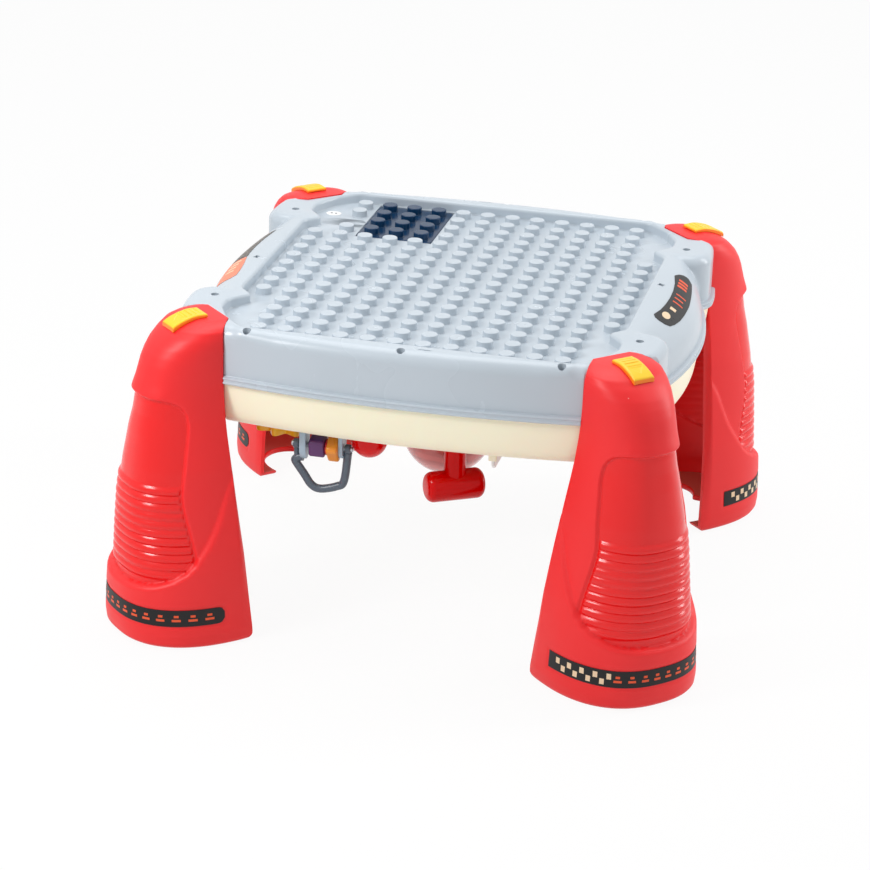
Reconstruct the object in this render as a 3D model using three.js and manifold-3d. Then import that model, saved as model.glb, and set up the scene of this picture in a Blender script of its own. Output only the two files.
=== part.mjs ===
// Children's musical activity table, standing with its building-brick side up.
//
// Millimetres. +Z is up, the floor is Z = 0 and the origin is the middle of the footprint.
// +X runs along the front edge and +Y runs to the back.
// Two shells, the stud deck and the lower shell, are screwed together over the music parts.
// Four hollow legs slide up over a tongue at each corner and are held by a sprung latch button.

import * as THREE from 'three';
import { mergeVertices } from 'three/addons/utils/BufferGeometryUtils.js';
import Module from 'manifold-3d';

const wasm = await Module();
wasm.setup();

// Clearances that all pieces share
const seat = 0.3;
const running = 0.4;
const overrun = 1;

// Driving dimensions
const table = { wall: 2.6 };

const stud = {
  pitch: 16, radius: 4.7, height: 4.3, sides: 6, columns: 12, rows: 16, outerRows: 8, root: 0.5,
};

const deck = {
  rimDrop: 0.9, rimHeight: 6.6, plate: 2.5, depth: 34.8, lipHeight: 6, lipDepth: 2.5, lipSlope: 1.2,
  frontReach: 145, bowRadius: 646, cornerX: 103,
  lobeReach: 146.5, lobeInner: 117.5, lobeRadius: 240, valleyY: 67, valleyStep: 1,
  earReach: 141, earCorner: 15, earRadius: 138, cornerY: 103,
  edgeRadius: 8,
};

const recess = {
  halfX: 113.8, halfY: 130, tongueX: 104.9, tongueY: 76, pocketX: 115.2, pocketY: 88.5,
  cornerX: 95, cornerY: 101,
};

const lower = {
  depth: 24.5, topInset: 0.6, wallInset: 2.5, turnInset: 4.5, footInset: 8, wallRise: 6, turnRise: 2,
};

const leg = {
  notch: 9.48, toe: 67, toeHalf: 45, flange: 5.5, blendDepth: 8, power: 2.4, height: 188.2,
  gripDepth: 2.2, gripTop: 145, gripTurn: 60, hoodLip: 2.2, hoodFlare: 0.6, hoodTurn: 50,
  ribs: 11, ribTop: 97.5, ribPitch: 5.05, ribHeight: 1.4, ribTurn: 50, shoulder: 3,
};

const latch = {
  start: 10, length: 22, halfWidth: 6.7, crown: 2.2, bed: 0.8, neckHalf: 4, neck: 3.5,
  toe: 4, toeHeight: 3.5,
  travel: 6, drop: 20,
};

const tongue = {
  reach: 13, halfWidth: 9, height: 18, top: 12.3, pocket: 4.5, rail: 2.6, shelf: 2.5, shelfHalf: 16.5,
};

const spring = {
  radius: 2.8, wire: 0.5, turns: 3, stepsPerTurn: 6, sides: 4, seatThickness: 2.2, seatHalf: 5,
};

const screw = {
  hole: 2.4, head: 2.1, headHeight: 2.2, shank: 1.2, boss: 4, bore: 1.6, sink: 21, sides: 6,
  earX: 124.9, earY: 84.8, rimX: 90.2, rimY: 135.2, middleY: 139.6, bite: 9,
};

const door = {
  column: 1, columns: 3, row: 12, rows: 4, tabWidth: 8, tabReach: 2.5, tabThickness: 2,
  tabDrop: 0.4, tabSpread: 18,
};

const notch = { row: 13, column: 0, radius: 7.2, depth: 4.6, wall: 1.6 };

const cell = { radius: 7, length: 49, nub: 2.6, nubLength: 1.3, count: 3, sides: 10, spacing: 0.6 };

const tray = { wall: 1.5, floor: 1.6, flange: 5.5, flangeThickness: 1.6, endSpace: 2.4 };

const contact = { thickness: 0.5, width: 9, height: 10.5 };

const gearSet = {
  teeth: 9, pitchRadius: 17, lobe: 2.7, backlash: 1.3, thickness: 8, lift: 4, bore: 4.6, post: 4.1, cap: 7,
  capThickness: 2.6, pin: 1.5, pinHole: 1.9, pinLength: 8, steps: 4, x: -78, y: -93, turnDeg: 102,
};

const beads = {
  y: -119, axisDrop: 13, left: -62.5, right: -36.5, lug: 2.5, lugHalf: 5, lugTip: 6.5,
  base: 2.3, baseHalf: 6.5,
  axle: 1.5, hole: 1.95, cube: 12, chamfer: 2, disc: 5, discThickness: 1.5, axleSpare: 0.4,
};

const loop = { rod: 2.2, eye: 3.8, eyeThickness: 4.6, drop: 26.7, sides: 6, steps: 18 };

const redButton = {
  x: -22.5, y: -116, radius: 8.3, reach: 16, collar: 2.6, collarHeight: 7, flange: 10.6,
  flangeThickness: 1.6, springLength: 7.4, bridgeHalf: 18, bridge: 2, post: 3, postSpread: 15, sides: 12,
};

const key = {
  count: 5, width: 25, pitch: 28, front: 62, back: 114, pivotY: 121, pivotRise: 6, reach: 7, inner: 5,
  armHalf: 4, armHeight: 5.4, armRoot: 12, swing: 1.2, lip: 3, lipThickness: 1.6, rod: 1.5, hole: 2,
  endRib: 2.4, padSpace: 3.6,
};

const turnKey = {
  x: 26.5, y: -110, drop: 31, handle: 8.5, handleLength: 36, angleDeg: 32, stem: 5.7,
  neck: 3, neckLength: 4.6,
  washer: 9, fillet: 2, sides: 14,
};

const dome = { x: 9.7, y: -70, radius: 30, sink: 9, wall: 2, window: 18, sides: 16, rows: 5 };

const lamp = { radius: 2.5, length: 10, boardX: 56, boardY: 14, boardRise: 5.4 };

const flap = {
  x: 52, y: -108, width: 36, length: 12.4, thickness: 2, barrel: 2.3, pin: 0.9, hole: 1.3,
  drop: 3.6, lug: 2,
};

const pad = { x: 66, y: -118, radius: 5, height: 4.5 };

const knob = {
  x: 118, spread: 24, radius: 8, reach: 4, flange: 10, flangeThickness: 1.6, travel: 1.5, count: 3,
};

const slider = {
  x: -121, halfX: 2.6, halfY: 5, reach: 4, travel: 10, plateHalfX: 5.5, plate: 1.6, body: 8, side: 1.4,
};

const speaker = {
  x: -60, y: 8, radius: 25, rim: 3, basket: 6, magnet: 14, magnetHeight: 8, ring: 2, ringHeight: 4.5,
  slots: 5, slotWidth: 3, slotPitch: 7, slotLength: 34, sides: 20,
};

const board = {
  x: 75, y: 0, width: 104, depth: 66, thickness: 1.6, rise: 9, post: 3, postInset: 5,
  postSpread: 28, switchRadius: 3,
};

const chip = { width: 22, depth: 12, height: 2, canRadius: 4, canHeight: 9 };

const strip = { rubber: 2.2, margin: 3 };

// Levels worked out from the driving dimensions
const rimTop = leg.height - deck.rimDrop;
const plateTop = rimTop - deck.rimHeight;
const plateBottom = plateTop - deck.plate;
const studTop = plateTop + stud.height;
const seam = rimTop - deck.depth;
const lipTop = seam + deck.lipHeight;
const lowerTop = seam - seat;
const panelBottom = seam - lower.depth;
const panelTop = panelBottom + table.wall;

// Colours, each with its roughness and metalness
const look = {
  deckGrey: [0xc3ccd4, 0.45, 0], cream: [0xf6edd2, 0.45, 0], red: [0xe0393e, 0.42, 0],
  yellow: [0xf8c62a, 0.4, 0], orange: [0xf08a24, 0.4, 0], navy: [0x123750, 0.45, 0],
  slate: [0x5b6674, 0.4, 0], paleBlue: [0xa9bccb, 0.4, 0], purple: [0x6b3a74, 0.4, 0],
  clearRed: [0xd06a66, 0.25, 0], white: [0xf3f3ee, 0.4, 0], blue: [0x2c6fb0, 0.4, 0],
  green: [0x2f7a4b, 0.5, 0], rubber: [0x565a5e, 0.8, 0], steel: [0xb9bcc0, 0.3, 1],
  black: [0x23252a, 0.6, 0], brass: [0xc9a24e, 0.35, 1],
};

// Turns a closed geometry into a solid that can be joined and cut
function solid(geometry) {
  const bare = geometry.clone();
  bare.deleteAttribute('normal');
  bare.deleteAttribute('uv');
  const merged = mergeVertices(bare, 1e-4);
  const triVerts = new Uint32Array(merged.index.array);
  const vertProperties = new Float32Array(merged.attributes.position.array);
  return new wasm.Manifold(new wasm.Mesh({ numProp: 3, vertProperties, triVerts }));
}

function geometryOf(body) {
  const data = body.getMesh();
  const geometry = new THREE.BufferGeometry();
  geometry.setAttribute('position', new THREE.BufferAttribute(new Float32Array(data.vertProperties), 3));
  geometry.setIndex(new THREE.BufferAttribute(new Uint32Array(data.triVerts), 1));
  geometry.computeVertexNormals();
  return geometry;
}

function piece(name, body, finish) {
  const [color, roughness, metalness] = finish;
  const mesh = new THREE.Mesh(
    geometryOf(body),
    new THREE.MeshStandardMaterial({ color, roughness, metalness }),
  );
  mesh.name = name;
  return mesh;
}

const counted = (count) => Array.from({ length: count }, (_, i) => i);
const join = (bodies) => bodies.reduce((whole, body) => whole.add(body));
const cut = (body, tools) => tools.reduce((whole, tool) => whole.subtract(tool), body);

// A box between two corners
function box(low, high) {
  const size = high.map((value, i) => value - low[i]);
  const geometry = new THREE.BoxGeometry(...size);
  geometry.translate(...low.map((value, i) => value + size[i] / 2));
  return solid(geometry);
}

// An upright prism of a plan outline
function prism(points, bottom, top) {
  const shape = new THREE.Shape(points.map(([x, y]) => new THREE.Vector2(x, y)));
  const geometry = new THREE.ExtrudeGeometry(shape, { depth: top - bottom, bevelEnabled: false });
  geometry.translate(0, 0, bottom);
  return solid(geometry);
}

function circle(x, y, radius, sides) {
  const step = (2 * Math.PI) / sides;
  return Array.from({ length: sides }, (_, i) => [
    x + radius * Math.cos(step * (i + 0.5)), y + radius * Math.sin(step * (i + 0.5)),
  ]);
}

const disc = (x, y, radius, bottom, top, sides = 12) => prism(circle(x, y, radius, sides), bottom, top);

// A rod along X or Y between two ends, about a centre line
function rod(axis, from, to, centre, radius, sides = 10) {
  const geometry = new THREE.CylinderGeometry(radius, radius, to - from, sides);
  if (axis === 'x') {
    geometry.rotateZ(Math.PI / 2);
    geometry.translate((from + to) / 2, centre[0], centre[1]);
  } else {
    geometry.translate(centre[0], (from + to) / 2, centre[1]);
  }
  return solid(geometry);
}

// Joins rings of equal count into one closed skin with flat ends
function loft(rings) {
  const count = rings[0].length;
  const positions = rings.flat(2);
  const index = [];
  for (let r = 0; r + 1 < rings.length; r += 1) {
    for (let i = 0; i < count; i += 1) {
      const a = r * count + i;
      const b = r * count + ((i + 1) % count);
      index.push(a, b, b + count, a, b + count, a + count);
    }
  }
  const capOf = (ring) => THREE.ShapeUtils.triangulateShape(
    ring.map(([x, y]) => new THREE.Vector2(x, y)),
    [],
  );
  const last = (rings.length - 1) * count;
  capOf(rings[0]).forEach(([a, b, c]) => index.push(a, c, b));
  capOf(rings[rings.length - 1]).forEach(([a, b, c]) => index.push(last + a, last + b, last + c));
  const geometry = new THREE.BufferGeometry();
  geometry.setAttribute('position', new THREE.BufferAttribute(new Float32Array(positions), 3));
  geometry.setIndex(index);
  return geometry;
}

// A solid of revolution about an upright axis, from a closed profile of radius and height
function turned(profile, x, y, sides) {
  const geometry = new THREE.LatheGeometry(profile.map(([r, z]) => new THREE.Vector2(r, z)), sides);
  geometry.rotateX(Math.PI / 2);
  geometry.translate(x, y, 0);
  return solid(geometry);
}

// Table plan
const lobeShares = [0, 0.34, 0.67, 1];
const earShares = [0.5, 1];
const frontShares = [1, 0.67, 0.34, 0];
const earCentreX = deck.earReach - deck.earCorner;
const earCentreY = deck.valleyY + deck.earCorner;
const frontAt = (x) => deck.frontReach - (x * x) / (2 * deck.bowRadius);
const earAt = (y) => deck.earReach - ((y - earCentreY) ** 2) / (2 * deck.earRadius);

// The corner is cut across between the ear and the front edge, and each leg sits in a notch in that cut
const cornerReach = (deck.cornerX + frontAt(deck.cornerX) + earAt(deck.cornerY) + deck.cornerY) / 2;
const innerPlane = cornerReach / Math.SQRT2 - leg.notch;

// One quarter of the shell's outline, from the middle of the side lobe to the middle of the front
function quarterOutline(out, lobeShare) {
  const lobeX = (y) => {
    const full = deck.lobeReach - (y * y) / (2 * deck.lobeRadius);
    return deck.lobeInner + (full - deck.lobeInner) * lobeShare + out;
  };
  const lobeEnd = deck.valleyY - out - deck.valleyStep;
  const lobe = lobeShares.map((share) => [lobeX(lobeEnd * share), lobeEnd * share]);
  const rounding = [-90, -60, -30, 0].map((angle) => {
    const turn = THREE.MathUtils.degToRad(angle);
    const y = earCentreY + (deck.earCorner + out) * Math.sin(turn);
    return [Math.max(lobeX(y), earCentreX + (deck.earCorner + out) * Math.cos(turn)), y];
  });
  const ear = earShares.map((share) => {
    const y = earCentreY + (deck.cornerY - earCentreY) * share;
    return [earAt(y) + out, y];
  });
  const front = frontShares.map((share) => [deck.cornerX * share, frontAt(deck.cornerX * share) + out]);
  return [...lobe, ...rounding, ...ear, ...front];
}

function mirrored(quarter) {
  const left = quarter.map(([x, y]) => [-x, y]).reverse().slice(1);
  const back = [...quarter, ...left];
  const front = back.map(([x, y]) => [x, -y]).reverse();
  return [...back, ...front.slice(1, -1)];
}

function shellRing([z, out, lobeShare]) {
  return mirrored(quarterOutline(out, lobeShare)).map(([x, y]) => [x, y, z]);
}

// How far out the side lobe reaches at a height, as a share of its full reach
function lobeShareAt(z) {
  const climb = Math.min(Math.max((z - lipTop) / (rimTop - lipTop), 0), 1);
  return Math.sqrt(1 - climb * climb);
}

function deckLevels() {
  const edge = deck.edgeRadius;
  const rounding = [0, 0.5, 0.85, 1];
  const levels = rounding.map((share) => {
    const z = rimTop - edge * (1 - share);
    return [z, edge * (Math.sqrt(1 - share * share) - 1), lobeShareAt(z)];
  });
  const middle = (lipTop + rimTop - edge) / 2;
  return [
    [seam, deck.lipDepth, 1],
    [lipTop - deck.lipSlope, deck.lipDepth, 1],
    [lipTop, 0, 1],
    [middle, 0, lobeShareAt(middle)],
    ...levels,
  ];
}

// Leg surfaces: share of height, half width at the inner plane, half width and depth beyond it, as shares
const columnShares = [
  [0, 1, 0.956, 0.955], [0.239, 0.933, 0.911, 0.948], [0.345, 0.844, 0.851, 0.94],
  [0.452, 0.747, 0.798, 0.925], [0.558, 0.638, 0.742, 0.887], [0.664, 0.524, 0.653, 0.836],
  [0.762, 0.438, 0.602, 0.788], [0.85, 0.38, 0.578, 0.739], [0.893, 0.355, 0.556, 0.687],
  [0.956, 0.322, 0.467, 0.53], [0.978, 0.311, 0.411, 0.44], [1, 0.284, 0.289, 0.254],
];
const footShares = [
  [0, 0.991, 0.924, 0.931], [0.016, 1.029, 0.987, 0.99], [0.106, 1.009, 0.991, 0.997],
  [0.239, 0.94, 0.969, 0.973], [0.377, 0.836, 0.893, 0.952], [0.56, 0.645, 0.755, 0.9],
];

// Round a leg: degrees from its middle, and the share of height at which the proud foot ends there.
// The last row is the edge at the inner plane.
const creaseShares = [
  [0, 0.192], [25, 0.198], [45, 0.217], [57, 0.246], [62, 0.269], [72, 0.343], [82, 0.448], [90, 0.521],
  [120, 0.555],
];
const halfSweep = creaseShares.map(([turn]) => turn);
const sweep = [...halfSweep.slice(1).reverse().map((turn) => -turn), ...halfSweep];

// The row of a table of shares at a key between two of its rows
function sharesAt(shares, key) {
  const found = shares.findIndex(([level]) => level >= key);
  const next = found < 0 ? shares.length - 1 : Math.max(found, 1);
  const [low, high] = [shares[next - 1], shares[next]];
  const share = (key - low[0]) / (high[0] - low[0]);
  return low.map((value, i) => value + (high[i] - value) * share);
}

function legPoint(shares, turn, z, grow, start) {
  const [, edgeShare, halfShare, depthShare] = sharesAt(shares, z / leg.height);
  if (Math.abs(turn) > 90) {
    return [innerPlane + start, Math.sign(turn) * (leg.toeHalf * edgeShare + grow), z];
  }
  const angle = THREE.MathUtils.degToRad(turn);
  const along = Math.abs(turn) < 90 ? Math.cos(angle) : 0;
  const across = Math.sin(angle);
  const reach = (along ** leg.power + Math.abs(across) ** leg.power) ** (-1 / leg.power);
  const depth = leg.toe * depthShare + grow - leg.blendDepth;
  const half = leg.toeHalf * halfShare + grow;
  return [innerPlane + leg.blendDepth + depth * reach * along, half * reach * across, z];
}

function legEnvelope(grow, start, rise) {
  const rings = columnShares.map(([share]) => (
    sweep.map((turn) => legPoint(columnShares, turn, leg.height * share, grow, start))
  ));
  const top = rings[rings.length - 1].map(([x, y, z]) => [x, y, z + rise]);
  return loft([...rings.slice(0, -1), top]);
}

const creaseAt = (turn) => leg.height * sharesAt(creaseShares, Math.abs(turn))[1];

// Rows of a leg's skin from the floor up: the surface that each follows, its height at a turn round the
// leg, and how far it stands off that surface there
function legRows(ribbed) {
  const half = leg.ribPitch / 2;
  const ribBottom = leg.ribTop - leg.ribs * leg.ribPitch;
  const squeezed = (z) => (turn) => {
    const room = leg.gripTop - creaseAt(turn) - half;
    return leg.gripTop - (leg.gripTop - z) * Math.min(1, room / (leg.gripTop - ribBottom));
  };
  const level = (share) => () => leg.height * share;
  const footTop = (turn) => creaseAt(turn) - leg.shoulder;
  const flush = () => 0;
  const sunk = (turn) => (Math.abs(turn) < leg.gripTurn ? -leg.gripDepth : 0);
  const raised = (turn) => sunk(turn) + (Math.abs(turn) < leg.ribTurn ? leg.ribHeight : 0);
  const flared = (turn) => (Math.abs(turn) < leg.hoodTurn ? leg.hoodFlare : 0);
  const low = footShares.slice(0, 3).map(([share]) => share);
  const belly = (turn) => (leg.height * low[2] + footTop(turn)) / 2;
  const ribRows = [...Array(2 * leg.ribs + 1).keys()].filter((k) => ribbed || k % leg.ribs === 0);
  return [
    ...low.map((share) => [footShares, level(share), flush]),
    [footShares, belly, flush],
    [footShares, footTop, flush],
    [columnShares, creaseAt, sunk],
    ...ribRows.map((k) => [columnShares, squeezed(ribBottom + k * half), ribbed && k % 2 ? raised : sunk]),
    [columnShares, squeezed(leg.height * columnShares[5][0]), sunk],
    [columnShares, () => leg.gripTop, sunk],
    [columnShares, () => leg.gripTop + leg.hoodLip, flared],
    ...columnShares.slice(7).map(([share]) => [columnShares, level(share), flush]),
  ];
}

function legRing([shares, height, lift], grow, start) {
  return sweep.map((turn) => legPoint(shares, turn, height(turn), grow + lift(turn), start));
}

// The hollow of a leg, a wall inside its skin and open towards the table and the floor
function legHollow() {
  const rows = legRows(false);
  const inside = rows.map((row) => legRing(row, -table.wall, -overrun));
  const levels = inside.filter((ring) => ring[0][2] > table.wall && ring[0][2] < leg.height - table.wall);
  const shift = (ring, z) => ring.map(([x, y]) => [x, y, z]);
  const foot = legRing(rows[1], -table.wall - leg.flange, -overrun);
  const top = shift(levels[levels.length - 1], leg.height - table.wall);
  const mouth = solid(loft([shift(foot, -overrun), shift(foot, 2 * table.wall)]));
  const room = solid(loft([shift(inside[1], table.wall), ...levels.slice(1, -1), top]));
  return geometryOf(mouth.add(room));
}

const legTurns = {
  front_right: -Math.PI / 4, back_right: Math.PI / 4, back_left: (3 * Math.PI) / 4,
  front_left: (-3 * Math.PI) / 4,
};
const corners = Object.values(legTurns);

// A solid drawn at the corner on the +X axis, turned to one of the four corners
function atCorner(geometry, turn) {
  const copy = geometry.clone();
  copy.rotateZ(turn);
  return solid(copy);
}

const tongueTop = rimTop - tongue.top;
const tongueBottom = tongueTop - tongue.height;
const toeBottom = rimTop - latch.drop;
const toeTop = toeBottom + latch.toeHeight;
const stemStart = innerPlane + tongue.reach + running;

// The tongue that a leg slides over, with the pocket for the latch hook in its end
function tongueBody() {
  const body = box(
    [innerPlane - seat - table.wall / 2, -tongue.halfWidth, tongueBottom],
    [innerPlane + tongue.reach, tongue.halfWidth, tongueTop],
  );
  const pocket = box(
    [innerPlane + tongue.reach - tongue.pocket, -latch.neckHalf - running, toeBottom - running],
    [innerPlane + tongue.reach + overrun, latch.neckHalf + running, toeTop + running],
  );
  return body.subtract(pocket);
}

// Screws sit in the ears and the middle of each long rim, and the other rim holes are for locating pins
const screwPlaces = [
  ...[-1, 1].flatMap((sx) => [-1, 1].map((sy) => [sx * screw.earX, sy * screw.earY])),
  ...[-1, 1].map((sy) => [0, sy * screw.middleY]),
];
const rimHoles = [-1, 1].flatMap((sx) => [-1, 1].map((sy) => [sx * screw.rimX, sy * screw.rimY]));
const screwSeat = rimTop - screw.sink;

// Door and its opening in the deck plate
const studX = (column) => (column - (stud.columns - 1) / 2) * stud.pitch;
const studY = (row) => (row - (stud.rows - 1) / 2) * stud.pitch;
const doorLeft = studX(door.column) - stud.pitch / 2;
const doorFront = studY(door.row) - stud.pitch / 2;
const doorBox = {
  left: doorLeft,
  right: doorLeft + door.columns * stud.pitch,
  front: doorFront,
  back: doorFront + door.rows * stud.pitch,
};
const doorX = (doorBox.left + doorBox.right) / 2;
const doorY = (doorBox.front + doorBox.back) / 2;

const inDoor = (column, row) => column >= door.column && column < door.column + door.columns
  && row >= door.row && row < door.row + door.rows;
const inNotch = (column, row) => column === notch.column && row === notch.row;

const studAt = (x, y) => disc(x, y, stud.radius, plateTop - stud.root, studTop, stud.sides);

function deckStuds() {
  const places = [];
  for (let column = 0; column < stud.columns; column += 1) {
    for (let row = 0; row < stud.rows; row += 1) {
      if (!inDoor(column, row) && !inNotch(column, row)) places.push([studX(column), studY(row)]);
    }
  }
  const firstOuter = (stud.rows - stud.outerRows) / 2;
  for (let row = firstOuter; row < firstOuter + stud.outerRows; row += 1) {
    places.push([studX(-1), studY(row)], [studX(stud.columns), studY(row)]);
  }
  return places.map(([x, y]) => studAt(x, y));
}

function recessOutline() {
  const quarter = [
    [recess.halfX, 0], [recess.halfX, deck.valleyY], [recess.tongueX, recess.tongueY],
    [recess.pocketX, recess.pocketY], [recess.pocketX, recess.cornerY],
    [
      (recess.pocketX + recess.cornerX) / 2 + deck.edgeRadius / 4,
      (recess.cornerY + recess.halfY) / 2 + deck.edgeRadius / 4,
    ],
    [recess.cornerX, recess.halfY], [0, recess.halfY],
  ];
  return mirrored(quarter);
}

// A finger scoop beside the battery door
const scoopX = studX(notch.column) + stud.pitch / 2 - notch.radius;
const scoopY = studY(notch.row);

function scoopCut() {
  const scoop = new THREE.SphereGeometry(notch.radius, 10, 8);
  scoop.scale(1, 1, notch.depth / notch.radius);
  scoop.translate(scoopX, scoopY, plateTop);
  const toDoor = box(
    [scoopX, scoopY - notch.radius / 2, plateTop - notch.depth / 2],
    [doorBox.left, scoopY + notch.radius / 2, plateTop + overrun],
  );
  return solid(scoop).add(toDoor);
}

function shellCavity(levels, keepOut) {
  const room = solid(loft(levels.map(([z, out, share]) => shellRing([z, out - table.wall, share]))));
  return cut(room, keepOut);
}

// The room that a latch button slides in
function latchRoom() {
  return geometryOf(box(
    [innerPlane + latch.start - running, -latch.halfWidth - running, toeBottom],
    [
      innerPlane + latch.start + latch.length + latch.travel,
      latch.halfWidth + running,
      leg.height + latch.crown + running,
    ],
  ));
}

function studDeck() {
  const outer = solid(loft(deckLevels().map(shellRing)));
  const clear = corners.flatMap((turn) => [
    atCorner(legEnvelope(seat, -seat, overrun), turn), atCorner(latchRoom(), turn),
  ]);
  const grown = seat + table.wall;
  const keepOut = corners.map((turn) => atCorner(legEnvelope(grown, -grown, overrun), turn));
  const cavity = shellCavity([
    [seam - overrun, 0, 1], [lipTop, 0, 1], [plateBottom, 0, lobeShareAt(plateBottom)],
  ], keepOut);
  const bosses = [...screwPlaces, ...rimHoles].map(([x, y]) => (
    disc(x, y, screw.boss, seam, plateBottom + overrun, screw.sides)
  ));
  const scoopBoss = box(
    [
      scoopX - notch.radius - notch.wall, scoopY - notch.radius - notch.wall,
      plateTop - notch.depth - notch.wall,
    ],
    [doorBox.left - running - tray.wall, scoopY + notch.radius + notch.wall, plateTop - stud.root],
  );
  const opening = box(
    [doorBox.left - running, doorBox.front - running, seam],
    [doorBox.right + running, doorBox.back + running, rimTop],
  );
  const drill = screwPlaces.flatMap(([x, y]) => [
    disc(x, y, screw.bore, seam - overrun, rimTop, screw.sides),
    disc(x, y, screw.hole, screwSeat, rimTop + overrun, screw.sides),
  ]);
  const rimDrill = rimHoles.map(([x, y]) => disc(
    x, y, screw.hole, screwSeat, rimTop + overrun, screw.sides,
  ));
  let body = outer.subtract(cavity).add(join(bosses).intersect(outer));
  body = body.subtract(prism(recessOutline(), plateTop, rimTop + overrun));
  body = cut(body, clear).add(scoopBoss);
  body = cut(body, [opening, scoopCut(), ...drill, ...rimDrill]);
  const tongues = corners.map((turn) => atCorner(geometryOf(tongueBody()), turn));
  return join([body, ...tongues, ...deckStuds()]);
}

function batteryDoor() {
  const plate = box([doorBox.left, doorBox.front, plateBottom], [doorBox.right, doorBox.back, plateTop]);
  const studs = [];
  for (let column = 0; column < door.columns; column += 1) {
    for (let row = 0; row < door.rows; row += 1) {
      studs.push(studAt(studX(door.column + column), studY(door.row + row)));
    }
  }
  const tabTop = plateBottom - door.tabDrop;
  const root = door.tabThickness + door.tabDrop;
  const tabs = [-1, 1].flatMap((side) => {
    const y = doorY + side * door.tabSpread;
    const [front, back] = [y - door.tabWidth / 2, y + door.tabWidth / 2];
    return [
      box([doorBox.right - root - overrun, front, tabTop - door.tabThickness],
        [doorBox.right + door.tabReach, back, tabTop]),
      box([doorBox.right - root - overrun, front, tabTop - door.tabThickness],
        [doorBox.right - overrun, back, plateBottom + stud.root]),
    ];
  });
  return join([plate, ...studs, ...tabs]);
}

const trayTop = plateBottom - seat;
const cellPitch = 2 * cell.radius + cell.spacing;
const cellZ = trayTop - cell.radius - running;
const trayHalfX = (cell.count * cellPitch) / 2 + running;
const trayHalfY = (cell.length + cell.nubLength) / 2 + tray.endSpace;
const trayFloor = cellZ - cell.radius - seat;

function batteryTray() {
  const outerX = trayHalfX + tray.wall;
  const outerY = trayHalfY + tray.wall;
  const shell = box(
    [doorX - outerX, doorY - outerY, trayFloor - tray.floor],
    [doorX + outerX, doorY + outerY, trayTop],
  );
  const flange = box(
    [doorX - outerX, doorY - outerY - tray.flange, trayTop - tray.flangeThickness],
    [doorX + outerX, doorY + outerY + tray.flange, trayTop],
  );
  const room = box(
    [doorX - trayHalfX, doorY - trayHalfY, trayFloor],
    [doorX + trayHalfX, doorY + trayHalfY, trayTop + overrun],
  );
  const slots = [-1, 1].map((side) => {
    const y = doorY + side * door.tabSpread;
    const half = door.tabWidth / 2 + overrun;
    return box(
      [doorX + trayHalfX - overrun, y - half, plateBottom - door.tabDrop - door.tabThickness - overrun],
      [doorX + outerX + overrun, y + half, trayTop + overrun],
    );
  });
  return cut(shell.add(flange), [room, ...slots]);
}

const cellX = (index) => doorX + (index - (cell.count - 1) / 2) * cellPitch;

function batteryCell(index) {
  const side = index % 2 ? -1 : 1;
  const middle = doorY - (side * cell.nubLength) / 2;
  const can = rod(
    'y', middle - cell.length / 2, middle + cell.length / 2, [cellX(index), cellZ], cell.radius, cell.sides,
  );
  const end = middle + (side * cell.length) / 2;
  const tip = end + side * cell.nubLength;
  const nub = rod('y', Math.min(end - side * overrun, tip), Math.max(end - side * overrun, tip),
    [cellX(index), cellZ], cell.nub, cell.sides);
  return can.add(nub);
}

// A contact strip on one end wall of the tray, with a pad for each cell
function contactStrip(side) {
  const wall = doorY + side * (trayHalfY - seat);
  const slab = (halfX, depth, halfZ, x) => {
    const inner = wall - side * depth;
    return box(
      [x - halfX, Math.min(inner, wall), cellZ - halfZ],
      [x + halfX, Math.max(inner, wall), cellZ + halfZ],
    );
  };
  const pads = counted(cell.count).map((i) => slab(
    contact.width / 2, 2 * contact.thickness, contact.width / 2, cellX(i),
  ));
  return join([slab(trayHalfX - overrun, contact.thickness, contact.height / 2, doorX), ...pads]);
}

function shellScrew([x, y]) {
  const head = screwSeat + seat;
  return join([
    disc(x, y, screw.head, head, head + screw.headHeight, screw.sides),
    disc(x, y, screw.shank, seam - screw.bite, head + overrun, screw.sides),
  ]);
}

// Height of a leg's top along its middle line, at a depth beyond the inner plane
function crownAt(depth) {
  const rising = columnShares.map(([height, , , reach]) => [leg.toe * reach, leg.height * height]);
  const line = rising.reverse();
  if (depth <= line[0][0]) return line[0][1];
  for (let i = 1; i < line.length; i += 1) {
    const [d0, z0] = line[i - 1];
    const [d1, z1] = line[i];
    if (depth <= d1) return z0 + ((z1 - z0) * (depth - d0)) / (d1 - d0);
  }
  return line[line.length - 1][1];
}

const stemEnd = stemStart + latch.neck;
const springStart = stemEnd + seat;
const springEnd = innerPlane + latch.start + latch.length - 1.5 * latch.bed;
const springZ = (toeTop + rimTop) / 2 - spring.radius;

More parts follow.
